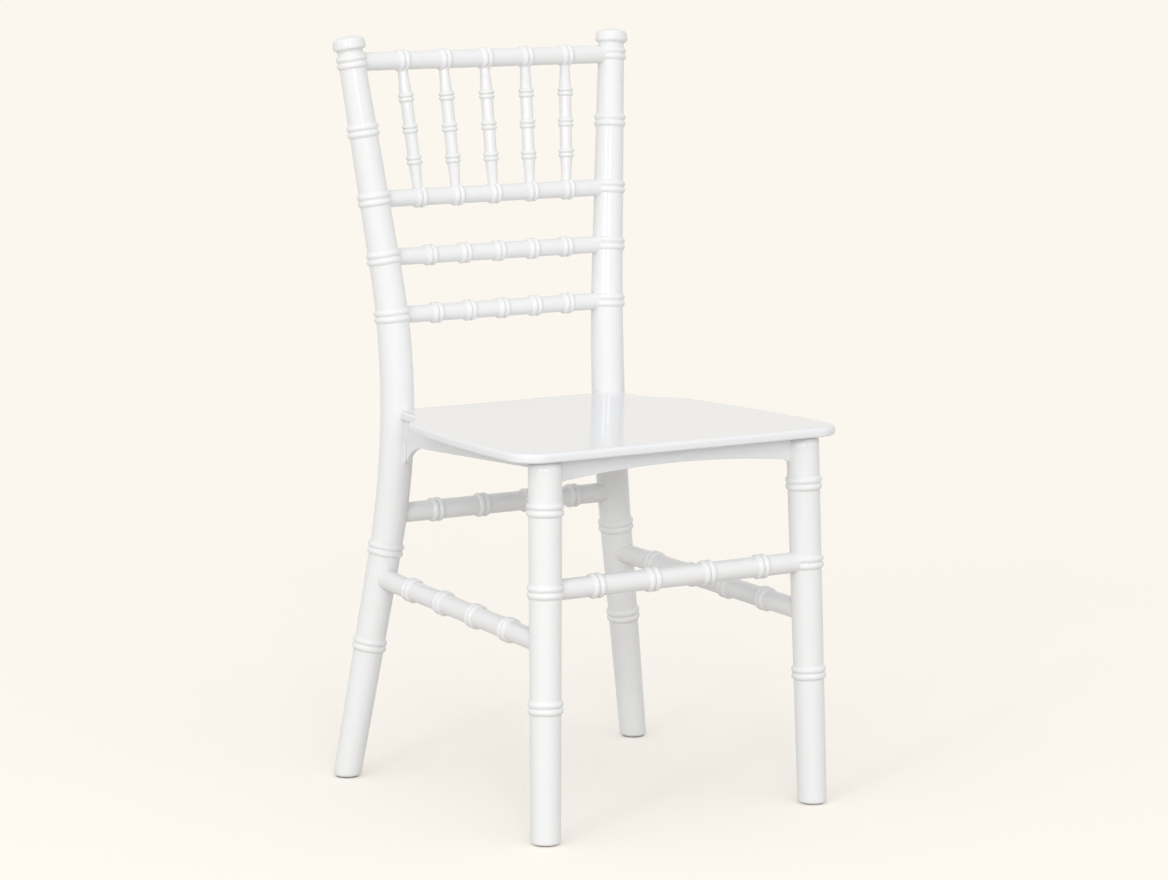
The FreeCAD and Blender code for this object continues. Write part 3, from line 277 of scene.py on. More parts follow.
# Rows of points along a stick: how many plain ones, how close they lie at a ring and the least
# that they lie apart, and how far past a ring's beads they are close
PLAIN_ROWS = 60
FINE_ROW = 0.36
CLOSEST_ROW = FINE_ROW * 0.4
RING_MARGIN = 2.4


def stick_rows(length, rings, half_ring, dense):
    """Distances along a stick at which its outline has a point, closer together at the rings
    and over the stretches named in dense."""
    rows = {round(length * step / PLAIN_ROWS, 3) for step in range(PLAIN_ROWS + 1)}
    spans = [(ring - half_ring, ring + half_ring) for ring in rings] + list(dense)
    for low, high in spans:
        count = max(int((high - low) / FINE_ROW), 1)
        rows |= {round(low + (high - low) * step / count, 3) for step in range(count + 1)}
    kept = []
    for row in sorted(rows):
        if 0 <= row <= length and (not kept or row - kept[-1] > CLOSEST_ROW):
            kept.append(row)
    return kept


def stick_outline(length, radius_at, rings, bead, rise, dense=()):
    """Half outline of a beaded stick as (radius, distance along it) pairs."""
    bead_radius, pitch, blend = bead
    centres = [ring + step * pitch / 2 for ring in rings for step in (-1, 1)]
    outline = []
    for row in stick_rows(length, rings, pitch / 2 + bead_radius + RING_MARGIN, dense):
        surface = radius_at(row)
        for centre in centres:
            offset = abs(row - centre)
            if offset < bead_radius:
                bulge = surface + rise - bead_radius + math.sqrt(bead_radius ** 2 - offset ** 2)
                surface = max(surface, smooth_max(radius_at(row), bulge, blend))
        outline.append((surface, row))
    return outline


# Meshes

# Points closer than this are one, and ones this near a level are on it, in metres
SAME_POINT = 1e-7
SAME_LEVEL = 1e-6
# Where the foot of an upright ends, on its glide
FOOT_LEVEL = 1.0
# How far into an upright a member is still flared, and how far outside it its rows are close
FLARE_DEPTH, FLARE_MARGIN = 4.0, 2.0
MEMBER_FACETS = 40
SPINDLE_FACETS = 32


def turned(outline, facets):
    """A closed turned piece about the Z axis, from (radius, height) pairs, with a UV map that
    holds the share of a turn and the height."""
    bm = bmesh.new()
    points = [bm.verts.new((radius * MM, 0, height * MM)) for radius, height in outline]
    edges = [bm.edges.new(pair) for pair in zip(points, points[1:])]
    bmesh.ops.spin(
        bm, geom=points + edges, cent=(0, 0, 0), axis=(0, 0, 1), angle=math.tau, steps=facets,
        use_merge=True)
    bmesh.ops.remove_doubles(bm, verts=bm.verts, dist=SAME_POINT)
    bmesh.ops.recalc_face_normals(bm, faces=bm.faces)
    layer = bm.loops.layers.uv.new("turned")
    for face in bm.faces:
        middle = face.calc_center_median()
        around = math.atan2(middle.y, middle.x) / math.tau % 1.0
        for loop in face.loops:
            place = loop.vert.co
            share = math.atan2(place.y, place.x) / math.tau % 1.0
            if abs(share - around) > 0.5:
                share += 1.0 if share < around else -1.0
            loop[layer].uv = (share, place.z)
    return bm


def follow(bm, path):
    """Lay a turned piece along a path in millimetres."""
    upward = Vector((0, 0, 1))
    for vert in bm.verts:
        reach = vert.co.z / MM
        turn = upward.rotation_difference(path.way(reach))
        across = turn @ Vector((vert.co.x, vert.co.y, 0))
        vert.co = path.point(reach) * MM + across


def stand_flat(bm, edge):
    """Cut an upright off flat above its glide, close it and round its lower edge."""
    geom = bm.verts[:] + bm.edges[:] + bm.faces[:]
    cut = bmesh.ops.bisect_plane(
        bm, geom=geom, plane_co=(0, 0, FOOT_LEVEL * MM), plane_no=(0, 0, -1), clear_outer=True)
    rim = [item for item in cut["geom_cut"] if isinstance(item, bmesh.types.BMEdge)]
    bmesh.ops.contextual_create(bm, geom=rim)
    bmesh.ops.bevel(
        bm, geom=rim, offset=edge * MM, segments=4, profile=0.5, affect="EDGES", material=-1)
    bmesh.ops.recalc_face_normals(bm, faces=bm.faces)


def standing(outline, path, foot_edge, side):
    """A post or leg of the right side, or its mirror image on the left."""
    bm = turned(outline, bpy.context.scene.chair_members.facets)
    follow(bm, path)
    stand_flat(bm, foot_edge)
    if side < 0:
        bmesh.ops.scale(bm, vec=(-1, 1, 1), verts=bm.verts)
        bmesh.ops.recalc_face_normals(bm, faces=bm.faces)
    return bm


def flare_at(bm, member, upright, flare):
    """Swell the end of a member into a small round rim where it meets an upright."""
    for vert in bm.verts:
        place = vert.co / MM
        near = upright.reach(place.z)
        centre, way = upright.point(near), upright.way(near)
        offset = place - centre
        offset -= way * offset.dot(way)
        clear = offset.length - upright.radius(near)
        out = place - member.start
        out -= member.direction * out.dot(member.direction)
        on_axis = out.length < 1
        if on_axis or not -FLARE_DEPTH <= clear <= flare:
            continue
        share = 1 - max(clear, 0) / flare
        vert.co += out.normalized() * (flare * MM * (1 - math.sqrt(max(1 - share * share, 0))))


class Mirrored:
    """An upright of the right side as it stands on the left."""

    def __init__(self, path):
        self.path = path
        self.reach, self.radius = path.reach, path.radius

    def flip(self, vector):
        return Vector((-vector.x, vector.y, vector.z))

    def point(self, reach):
        return self.flip(self.path.point(reach))

    def way(self, reach):
        return self.flip(self.path.way(reach))


def on_side(path, side):
    """The axis of an upright on the right, or on the left where side is -1."""
    return path if side > 0 else Mirrored(path)


def finish_piece(bm, name, material, node):
    """Make the object, ride it on the chair and let it stand for its CAD node."""
    mesh = bpy.data.meshes.new(name)
    bm.to_mesh(mesh)
    bm.free()
    mesh.materials.append(material)
    mesh.shade_smooth()
    piece = bpy.data.objects.new(name, mesh)
    bpy.context.scene.collection.objects.link(piece)
    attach(piece, "root")
    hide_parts(node)
    return piece


def sharpen(piece, degrees):
    """Keep flat faces flat beside rounded edges."""
    weighted = piece.modifiers.new("face_weighting", "WEIGHTED_NORMAL")
    weighted.keep_sharp = True
    piece.data.set_sharp_from_angle(angle=math.radians(degrees))


# Materials


class Value:
    """A socket of a node tree. Python's operators on it add the Math nodes."""

    def __init__(self, tree, socket):
        self.tree, self.socket = tree, socket

    def maths(self, operation, *values):
        return self.tree.node("ShaderNodeMath", {"operation": operation}, values)

    def __add__(self, other):
        return self.maths("ADD", self, other)

    def __mul__(self, other):
        return self.maths("MULTIPLY", self, other)

    def __sub__(self, other):
        return self.maths("SUBTRACT", self, other)

    def __rsub__(self, other):
        return self.maths("SUBTRACT", other, self)

    def __truediv__(self, other):
        return self.maths("DIVIDE", self, other)

    __radd__ = __add__
    __rmul__ = __mul__

    def size(self):
        return self.maths("ABSOLUTE", self)

    def limited(self):
        return self.maths("MAXIMUM", self.maths("MINIMUM", self, 1.0), 0.0)

    def rising(self, start, slope):
        """0 up to start, and from there a steady rise to 1."""
        return ((self - start) * slope).limited()

    def above(self, level):
        return self.maths("GREATER_THAN", self, level)


class Shader:
    """The nodes of a material or of the world."""

    # Places of a Mix node's sockets for colours
    MIX_SHARE, MIX_ONE, MIX_OTHER, MIX_RESULT = 0, 6, 7, 2

    def __init__(self, data):
        self.data = data
        data.use_nodes = True
        self.nodes, self.links = data.node_tree.nodes, data.node_tree.links
        self.coordinates = self.nodes.new("ShaderNodeTexCoord")

    def fill(self, socket, value):
        if isinstance(value, Value):
            self.links.new(value.socket, socket)
        else:
            socket.default_value = value

    def node(self, kind, settings=None, values=(), output=0):
        """Add a node: its settings first, then its sockets by position or by name."""
        made = self.nodes.new(kind)
        for key, setting in (settings or {}).items():
            setattr(made, key, setting)
        named = values.items() if isinstance(values, dict) else enumerate(values)
        for key, value in named:
            self.fill(made.inputs[key], value)
        return Value(self, made.outputs[output])

    def place(self, output="Object"):
        return Value(self, self.coordinates.outputs[output])

    def noise(self, vector, scale, detail=2.0, roughness=0.5):
        values = {"Vector": vector, "Scale": scale, "Detail": detail, "Roughness": roughness}
        return self.node("ShaderNodeTexNoise", None, values)

    def stretched(self, vector, scale):
        return self.node("ShaderNodeMapping", None, {"Vector": vector, "Scale": scale})

    def part(self, vector, axis):
        return self.node("ShaderNodeSeparateXYZ", None, [vector], output=axis)

    def blend(self, share, one, other):
        values = {self.MIX_SHARE: share, self.MIX_ONE: one, self.MIX_OTHER: other}
        return self.node("ShaderNodeMix", {"data_type": "RGBA"}, values, self.MIX_RESULT)

    def seen(self):
        """1 where the surface or sky is seen directly, in gloss or through glass."""
        rays = [self.node("ShaderNodeLightPath", output=name) for name in (
            "Is Camera Ray", "Is Glossy Ray", "Is Transmission Ray")]
        return (rays[0] + rays[1] + rays[2]).limited()

    def glow(self, kind, colour, strength=1.0):
        return self.node(kind, None, {"Color": rgba(colour), "Strength": strength})

    def finish(self, output, share, one, other):
        """Mix two shaders by share and send them to the output."""
        mixed = self.node("ShaderNodeMixShader", None, [share, one, other])
        self.links.new(mixed.socket, self.nodes[output].inputs[0])


class Material(Shader):
    """A node material with a Principled surface."""

    def __init__(self, name):
        super().__init__(bpy.data.materials.new(name))
        self.surface = self.nodes["Principled BSDF"]

    def bump(self, height, distance, strength):
        values = {"Strength": strength, "Distance": distance, "Height": height}
        return self.node("ShaderNodeBump", None, values)

    def surfaced(self, **values):
        """Fill the sockets of the surface, named in small letters."""
        for name, value in values.items():
            socket = name.replace("_", " ").title().replace("Ior", "IOR")
            self.fill(self.surface.inputs[socket], value)
        return self.data


def rgba(colour):
    return (*colour, 1.0)


def resin(name, colour, roughness, seam_turn=None, seam_top=0.0):
    """Glossy moulded resin: faint clouding, the slight waves of a thick moulding, fine scuffs,
    and where seam_turn is given the parting line of the mould at that share of a turn."""
    look = bpy.context.scene.chair_resin
    material = Material(name)
    place = material.place()
    cloud = material.noise(place, scale=26.0, detail=3.0)
    waves = material.noise(place, scale=55.0, detail=1.0)
    streaks = material.stretched(place, (90.0, 90.0, 14.0))
    scuffs = material.noise(streaks, scale=6.0, detail=4.0, roughness=0.7)
    scuffed = scuffs.rising(0.58, 6.0)
    dull = [channel * (1 - look.clouding) for channel in colour]
    clouded = material.blend(cloud, rgba(colour), rgba(dull))
    relief = waves * 0.5
    if seam_turn is not None:
        around, height = (material.part(material.place("UV"), axis) for axis in (0, 1))
        narrowness, ridge = 75.0, 1.1
        line = (1.0 - ((around - seam_turn).size() * narrowness)).limited()
        below_top = 1.0 - height.above(seam_top)
        relief = relief + line * below_top * ridge
    rough = roughness + scuffed * 0.07 + (cloud - 0.5) * 0.05
    return material.surfaced(
        base_color=clouded, roughness=rough, coat_weight=look.coat, coat_roughness=0.08,
        ior=1.45, normal=material.bump(relief, distance=0.0001, strength=0.35))


def metal(name, colour, roughness, line_scale):
    """Turned and lightly brushed metal with fine scratches and a little tarnish."""
    material = Material(name)
    place = material.place()
    brushed = material.stretched(place, (300.0, 300.0, line_scale))
    lines = material.noise(brushed, scale=5.0, detail=4.0, roughness=0.6)
    tarnish = material.noise(place, scale=140.0, detail=3.0)
    dark = [channel * 0.72 for channel in colour]
    shade = material.blend(tarnish.rising(0.45, 2.0), rgba(colour), rgba(dark))
    return material.surfaced(
        base_color=shade, metallic=1.0, roughness=roughness + lines * 0.18 + tarnish * 0.06,
        normal=material.bump(lines, distance=0.00005, strength=0.5))


def glide_plastic():
    """Matt grey plastic of the foot glides, scuffed from the floor."""
    material = Material("glide_plastic")
    place = material.place()
    speckle = material.noise(place, scale=700.0, detail=3.0)
    rubbed = material.noise(place, scale=120.0, detail=4.0, roughness=0.7).rising(0.5, 4.0)
    clean, worn = (0.30, 0.30, 0.29), (0.21, 0.205, 0.195)
    return material.surfaced(
        base_color=material.blend(rubbed, rgba(clean), rgba(worn)), roughness=0.55 + speckle * 0.2,
        normal=material.bump(speckle, distance=0.0001, strength=0.6))


def member_resin():
    """Resin of the legs, rails and spindles."""
    look = bpy.context.scene.chair_resin
    return bpy.data.materials.get("member_resin") or resin(
        "member_resin", look.colour, look.roughness)


def seamed_resin():
    """Resin of the stretchers, whose parting line faces the front at mid-height."""
    look = bpy.context.scene.chair_resin
    return bpy.data.materials.get("seamed_resin") or resin(
        "seamed_resin", look.colour, look.roughness, seam_turn=0.75, seam_top=1.0)


# Operators, one for each group of like pieces


class CHAIR_OT_rear_posts(bpy.types.Operator):
    """Model the two bent rear posts, with their double rings and domed caps"""

    bl_idname = "chair.rear_posts"
    bl_label = "Rear posts"

    FOOT_EDGE = 2.6
    STICK_ABOVE_CREST = 5.5

    def cap_outline(self, top):
        """Waisted neck and slightly conical disc with a gentle dome, above the crest ring."""
        neck, waist, neck_start, waist_height = 11.3, 10.45, top + 5.6, top + 7.6
        wide, narrow, base, edge = 13.85, 13.2, top + 9.8, 2.7
        rim, dome, dome_middle = base + 9.6, 2.2, 0.76
        inset = edge * 0.29
        outline = arc_points((neck, neck_start), (waist, waist_height), (neck, base), 8)
        start = (wide - edge, base)
        lower = arc_points(start, (wide - inset, base + inset), (wide, base + edge), 6)
        corner = (narrow, rim - edge)
        upper = arc_points(corner, (narrow - inset, rim - inset), (narrow - edge, rim), 6)
        domed = arc_points(
            (narrow - edge, rim), ((narrow - edge) / 2, rim + dome * dome_middle),
            (0, rim + dome), 8)
        return outline + [start] + lower + [corner] + upper + domed

    def execute(self, context):
        rings = [POST.reach(height) for height in POST_RINGS]
        stick = stick_outline(
            POST.length + self.STICK_ABOVE_CREST, POST.radius, rings, UPRIGHT_BEAD,
            context.scene.chair_members.bead_rise / MM)
        outline = [(0, 0)] + stick + self.cap_outline(POST.length)
        look = context.scene.chair_resin
        material = resin(
            "post_resin", look.colour, look.roughness, seam_turn=0.75, seam_top=0.285)
        for word, side in SIDES:
            bm = standing(outline, POST, self.FOOT_EDGE, side)
            finish_piece(bm, word + "_post", material, word + "_rear_post")
        return {"FINISHED"}


class CHAIR_OT_front_legs(bpy.types.Operator):
    """Model the two tapered front legs with their double rings"""

    bl_idname = "chair.front_legs"
    bl_label = "Front legs"

    FOOT_EDGE = 1.8

    def execute(self, context):
        rings = [LEG.reach(height) for height in LEG_RINGS]
        stick = stick_outline(
            LEG.length, LEG.radius, rings, UPRIGHT_BEAD, context.scene.chair_members.bead_rise / MM)
        outline = [(0, 0)] + stick + [(0, LEG.length)]
        for word, side in SIDES:
            bm = standing(outline, LEG, self.FOOT_EDGE, side)
            finish_piece(bm, word + "_leg", member_resin(), word + "_front_leg")
        return {"FINISHED"}


def bonded(name, node, path, rings, bead, end, uprights, material):
    """Model a turned member that is bonded into uprights. Its rows are close between the two
    distances in end, which count from each end of its axis."""
    members = bpy.context.scene.chair_members
    near, far = end
    ends = [(near, far), (path.length - far, path.length - near)]
    rise = members.rail_bead_rise / MM
    outline = stick_outline(path.length, path.radius, rings, bead, rise, ends)
    bm = turned([(0, 0)] + outline + [(0, path.length)], MEMBER_FACETS)
    follow(bm, path)
    for upright in uprights:
        flare_at(bm, path, upright, members.joint_flare / MM)
    finish_piece(bm, name, material, node)


def cross_member(name, node, upright, height, radius, pitch, count, bead, material):
    """A level member between the left and right uprights, with rings at even distances."""
    near = upright.reach(height)
    axis, thick = upright.point(near), upright.radius(near)
    path = Straight((-axis.x, axis.y, axis.z), (axis.x, axis.y, axis.z), radius, radius)
    rings = [axis.x + pitch * (step - (count - 1) / 2) for step in range(count)]
    end = (thick - FLARE_DEPTH, thick + FLARE_MARGIN)
    uprights = [on_side(upright, side) for _, side in SIDES]
    bonded(name, node, path, rings, bead, end, uprights, material)


class CHAIR_OT_back_rails(bpy.types.Operator):
    """Model the crest rail and the three rails under it"""

    bl_idname = "chair.back_rails"
    bl_label = "Back rails"

    RINGS = 5

    def execute(self, context):
        rails = (
            ("crest", "crest_rail", CREST, 7.6, CREST_PITCH),
            ("rail_under_spindles", "spindle_rail", SPINDLE_RAIL, 7.1, SPINDLE_RAIL_PITCH),
            ("upper_rail", "upper_back_rail", UPPER_RAIL, 7.1, 33.2),
            ("lower_rail", "lower_back_rail", LOWER_RAIL, 7.1, 32.1),
        )
        for name, node, height, radius, pitch in rails:
            cross_member(
                name, node, POST, height, radius, pitch, self.RINGS, RAIL_BEAD, member_resin())
        return {"FINISHED"}


class CHAIR_OT_stretchers(bpy.types.Operator):
    """Model the front, rear and side stretchers between the legs"""

    bl_idname = "chair.stretchers"
    bl_label = "Stretchers"

    RINGS = 4
    FRONT_PITCH, REAR_PITCH, SIDE_PITCH = 52.3, 45.1, 51.1
    # Where the axis of a side stretcher meets the post and the leg, and where its rows are close
    SIDE_HEIGHTS = (166.8, 155.9)
    SIDE_END = (8, 17)

    def side_stretcher(self, word, side):
        post, leg = self.SIDE_HEIGHTS
        mirror = Matrix.Diagonal((side, 1, 1))
        start, end = mirror @ POST.point(POST.reach(post)), mirror @ LEG.point(LEG.reach(leg))
        path = Straight(start, end, STRETCHER_RADIUS, STRETCHER_RADIUS)
        middle, half = path.length / 2, (self.RINGS - 1) / 2
        rings = [middle + self.SIDE_PITCH * (step - half) for step in range(self.RINGS)]
        uprights = [on_side(upright, side) for upright in (POST, LEG)]
        bonded(
            "stretcher_" + word, word + "_side_stretcher", path, rings, STRETCHER_BEAD,
            self.SIDE_END, uprights, seamed_resin())

    def execute(self, context):
        cross_member(
            "stretcher_front", "front_stretcher", LEG, FRONT_STRETCHER, STRETCHER_RADIUS,
            self.FRONT_PITCH, self.RINGS, STRETCHER_BEAD, member_resin())
        cross_member(
            "stretcher_rear", "rear_stretcher", POST, REAR_STRETCHER, STRETCHER_RADIUS,
            self.REAR_PITCH, self.RINGS, STRETCHER_BEAD, seamed_resin())
        for word, side in SIDES:
            self.side_stretcher(word, side)
        return {"FINISHED"}


class CHAIR_OT_spindles(bpy.types.Operator):
    """Model the five spindles of the back"""

    bl_idname = "chair.spindles"
    bl_label = "Spindles"

    RADIUS = 5.1
    NARROWING = 0.95
    NODE_SPACING = 25.8
    NODE_RISE = 1.55
    # The taper beyond the outer nodes is this much shorter than half the spindle
    TAPER_SHORTER = 33

    def spindle(self, number, low, high):
        """Spindle number 1 to 5, from the spindle rail at low to the crest rail at high."""
        offset = number - 3
        start = (offset * SPINDLE_RAIL_PITCH, low.y, low.z)
        path = Straight(start, (offset * CREST_PITCH, high.y, high.z), self.RADIUS, self.RADIUS)
        half = path.length / 2
        taper = half - self.TAPER_SHORTER

        def radius_at(reach):
            share = max(abs(reach - half) - self.NODE_SPACING, 0) / taper
            return self.RADIUS - self.NARROWING * smooth_step(share)

        nodes = [half + self.NODE_SPACING * step for step in (-1, 0, 1)]
        outline = stick_outline(path.length, radius_at, nodes, SPINDLE_BEAD, self.NODE_RISE)
        bm = turned([(0, 0)] + outline + [(0, path.length)], SPINDLE_FACETS)
        follow(bm, path)
        node = "spindle_%d" % number
        finish_piece(bm, "turned_" + node, member_resin(), node)

    def execute(self, context):
        low, high = (POST.point(POST.reach(height)) for height in (SPINDLE_RAIL, CREST))
        for number in range(1, 6):
            self.spindle(number, low, high)
        return {"FINISHED"}


class CHAIR_OT_seat(bpy.types.Operator):
    """Model the moulded seat panel: plate, aprons, corner blocks and ribs"""

    bl_idname = "chair.seat"
    bl_label = "Seat panel"

    WALL = 4.5
    WALL_TOP = 302
    FRONT_FACE = -138.7
    REAR_FACE = 105.0
    REAR_HALF, REAR_LOW = 105.2, 282.5
    # Heights of the lower edge of the front apron, and half the width of its arch
    ARCH_LOW, ARCH_SPRING, ARCH_CROWN, ARCH_HALF = 278.2, 281.4, 286.9, 99
    # Lowest height of a side apron, at the post
    GUSSET_LOW = 263
    # How far the axis of a strip lies from its upright and behind the face of the apron
    POST_STRIP, LEG_STRIP = (0.9, 0.7), (-0.1, 0.6)
    STRIP_TOP = 300
    BLOCK_REACH, BLOCK_LOW, BLOCK_HEIGHT = 29, 289.5, 12
    RIB_SPACING, RIB_WIDTH, RIB_HEIGHT, RIB_INSET = 62, 3, 5, 2
    WALL_EDGE, BLOCK_EDGE, RIB_EDGE = 0.7, 1.2, 0.6
    # The ribs that run across are shallower, so that no two faces lie in one plane
    RIB_LOW, CROSS_RIB_LOW = 295.0, 295.4

    def slab(self, bm, outline, thickness, placed):
        """Extrude a flat outline along its Z, then put it in place. Returns its faces."""
        known = set(bm.faces)
        verts = [bm.verts.new((x * MM, y * MM, 0)) for x, y in outline]
        face = bm.faces.new(verts)
        raised = bmesh.ops.extrude_face_region(bm, geom=[face])["geom"]
        tops = [item for item in raised if isinstance(item, bmesh.types.BMVert)]
        bmesh.ops.translate(bm, vec=(0, 0, thickness * MM), verts=tops)
        bmesh.ops.transform(bm, matrix=placed, verts=verts + tops)
        made = [face for face in bm.faces if face not in known]
        bmesh.ops.recalc_face_normals(bm, faces=made)
        return made

    def rounded(self, bm, faces, offset, segments, chosen=lambda edge: True):
        """Round the edges of these faces for which chosen is true."""
        edges = dict.fromkeys(edge for face in faces for edge in face.edges if chosen(edge))
        bmesh.ops.bevel(
            bm, geom=list(edges), offset=offset * MM, segments=segments, profile=0.5,
            affect="EDGES", material=-1)

    def below(self, height):
        """Test for edges that lie under this height."""
        return lambda edge: max(vert.co.z for vert in edge.verts) < height * MM

    def plate(self, bm, seat):
        """Plate with bowed sides, round front corners, and an ear and notch at each post."""
        shoulder = [(133.9, 45.1)] + arc_points((133.9, 45.1), (136.1, 42.0), (136.9, 38.5), 5)
        bowed = arc_points((136.9, 38.5), (148.4, -40), (153.6, -132), 22)
        corner = arc_points((153.6, -132), (146.3, -149.7), (128.6, -157), 14)
        notch = [(113.4, 67.3)] + arc_points((113.4, 67.3), (113.8, 66.1), (114.5, 65.1), 4)
        right = [(107.6, 109.0)] + notch + shoulder + bowed + corner
        outline = right + [(-x, y) for x, y in reversed(right)]
        under = seat.height / MM - seat.thickness / MM
        level = Matrix.Translation((0, 0, under * MM))
        faces = self.slab(bm, outline, seat.thickness / MM, level)
        upper, lower = (
            [face for face in faces
             if all(abs(vert.co.z - height) < SAME_LEVEL for vert in face.verts)]
            for height in (seat.height, under * MM))
        self.rounded(bm, upper, seat.top_edge / MM, 7)
        self.rounded(bm, lower, seat.bottom_edge / MM, 4)

    def wall(self, bm, start, end, outline):
        """An apron whose outer face stands on the line from start to end."""
        way = (Vector(end) - Vector(start)).normalized()
        inward = Vector((-way.y, way.x, 0))
        across = Vector((way.x, way.y, 0))
        turn = Matrix((across, (0, 0, 1), inward)).transposed()
        place = Matrix.Translation(Vector((*start, 0)) * MM) @ turn.to_4x4()
        faces = self.slab(bm, outline, self.WALL, place)
        self.rounded(bm, faces, self.WALL_EDGE, 3, self.below(PLATE_UNDERSIDE - 0.5))

    def front_apron(self, bm):
        """Apron with a long low arch, which turns down to the legs at its ends."""
        half = LEG.point(LEG.reach(PLATE_UNDERSIDE)).x
        low, spring, end = self.ARCH_LOW, self.ARCH_SPRING, self.ARCH_HALF
        turned_down = arc_points((end, spring), (105, 280.6), (109.6, low), 6)
        arch = arc_points((-end, spring), (0, self.ARCH_CROWN), (end, spring), 24)
        lower = [(-x, z) for x, z in reversed(turned_down)] + [(-end, spring)] + arch + turned_down
        left, right = [(-half, self.WALL_TOP), (-half, low)], [(half, low), (half, self.WALL_TOP)]
        shifted = [(x + half, z) for x, z in left + lower + right]
        self.wall(bm, (-half, self.FRONT_FACE), (half, self.FRONT_FACE), shifted)

    def rear_apron(self, bm):
        """Plain apron between the posts."""
        half, low, top = self.REAR_HALF, self.REAR_LOW, self.WALL_TOP
        outline = [(0, top), (0, low), (2 * half, low), (2 * half, top)]
        self.wall(bm, (half, self.REAR_FACE), (-half, self.REAR_FACE), outline)

    def side_line(self, side):
        """Leg and post axes at the underside of the plate, seen from above."""
        leg, post = (path.point(path.reach(PLATE_UNDERSIDE)) for path in (LEG, POST))
        return Vector((side * leg.x, leg.y)), Vector((side * post.x, post.y))

    def side_apron(self, bm, side):
        """Apron from leg to post, with a gusset that curves down to the post."""
        leg, post = self.side_line(side)
        length = (post - leg).length
        start = (length - 50, 279.1)
        gusset = arc_points(start, (length - 29, 275.2), (length - 14.6, self.GUSSET_LOW), 12)
        leg_end = [(0, self.WALL_TOP), (0, 287), (13.5, 287), (22, 289.3)]
        post_end = [(length, self.GUSSET_LOW), (length, self.WALL_TOP)]
        outline = leg_end + [start] + gusset + post_end
        if side > 0:
            self.wall(bm, leg, post, outline)
        else:
            self.wall(bm, post, leg, [(length - x, z) for x, z in reversed(outline)])

    def strip(self, bm, low, high):
        """Rounded strip where an apron runs into an upright."""
        low, high = Vector(low) * MM, Vector(high) * MM
        turn = (high - low).to_track_quat("Z", "Y").to_matrix().to_4x4()
        placed = Matrix.Translation((low + high) / 2) @ turn
        bmesh.ops.create_cone(
            bm, cap_ends=True, segments=16, radius1=1.1 * MM, radius2=1.4 * MM,
            depth=(high - low).length, matrix=placed)

    def strips(self, bm, side):
        """Strips where a side apron meets the post and the front apron meets the leg."""
        leg, post = self.side_line(side)
        along_side = (post - leg).normalized()
        inward = Vector((-along_side.y, along_side.x)) * side
        gap, depth = self.POST_STRIP
        ends = []
        for height in (263.6, self.STRIP_TOP):
            near = POST.reach(height)
            axis, thick = POST.point(near), POST.radius(near)
            edge = Vector((side * axis.x, axis.y)) - along_side * (thick + gap) + inward * depth
            ends.append((edge.x, edge.y, height))
        self.strip(bm, *ends)
        gap, depth = self.LEG_STRIP
        ends = []
        for height in (279.5, self.STRIP_TOP):
            near = LEG.reach(height)
            axis, thick = LEG.point(near), LEG.radius(near)
            ends.append((side * (axis.x - (thick + gap)), self.FRONT_FACE + depth, height))
        self.strip(bm, *ends)

    def block(self, bm, axis, corner, ways):
        """Three-cornered block in the angle of two aprons, wide enough to carry its bolt."""
        corner = corner + (ways[0] + ways[1]) * (self.WALL / 2)
        inward = (ways[0] + ways[1]).normalized()
        reach = (self.BLOCK_REACH - (corner - axis).dot(inward)) / ways[0].dot(inward)
        outline = [corner, corner + ways[0] * reach, corner + ways[1] * reach]
        level = Matrix.Translation((0, 0, self.BLOCK_LOW * MM))
        faces = self.slab(bm, outline, self.BLOCK_HEIGHT, level)
        self.rounded(bm, faces, self.BLOCK_EDGE, 3, lambda edge: edge.calc_length() < 15 * MM)

    def blocks(self, bm, side):
        """The front and rear corner blocks of one side."""
        leg, post = self.side_line(side)
        along_side = (post - leg).normalized()
        inward = Vector((-side, 0))
        self.block(bm, leg, Vector((leg.x, self.FRONT_FACE)), (inward, along_side))
        rear = post + along_side * ((self.REAR_FACE - post.y) / along_side.y)
        self.block(bm, post, rear, (inward, -along_side))

    def ribs(self, bm):
        """Three ribs from front to rear and three across."""
        front, rear = self.FRONT_FACE + self.RIB_INSET, self.REAR_FACE - self.RIB_INSET
        leg, post = self.side_line(1)
        thin = self.RIB_WIDTH / 2
        for number in (-1, 0, 1):
            offset = number * self.RIB_SPACING
            self.rib(bm, (offset - thin, front), (offset + thin, rear), self.RIB_LOW)
            y = (front + rear) / 2 + offset
            half = leg.x + (post.x - leg.x) * (y - leg.y) / (post.y - leg.y) - self.RIB_INSET
            self.rib(bm, (-half, y - thin), (half, y + thin), self.CROSS_RIB_LOW)

    def rib(self, bm, low, high, level):
        outline = [low, (high[0], low[1]), high, (low[0], high[1])]
        faces = self.slab(bm, outline, self.RIB_HEIGHT, Matrix.Translation((0, 0, level * MM)))
        self.rounded(bm, faces, self.RIB_EDGE, 2, self.below(self.CROSS_RIB_LOW + 0.6))

    def execute(self, context):
        bm = bmesh.new()
        self.plate(bm, context.scene.chair_seat)
        self.front_apron(bm)
        self.rear_apron(bm)
        for _, side in SIDES:
            self.side_apron(bm, side)
            self.strips(bm, side)
            self.blocks(bm, side)
        self.ribs(bm)
        look = context.scene.chair_resin
        material = resin("seat_resin", look.seat_colour, look.seat_roughness)
        sharpen(finish_piece(bm, "seat_moulding", material, "seat_panel"), degrees=40)
        return {"FINISHED"}


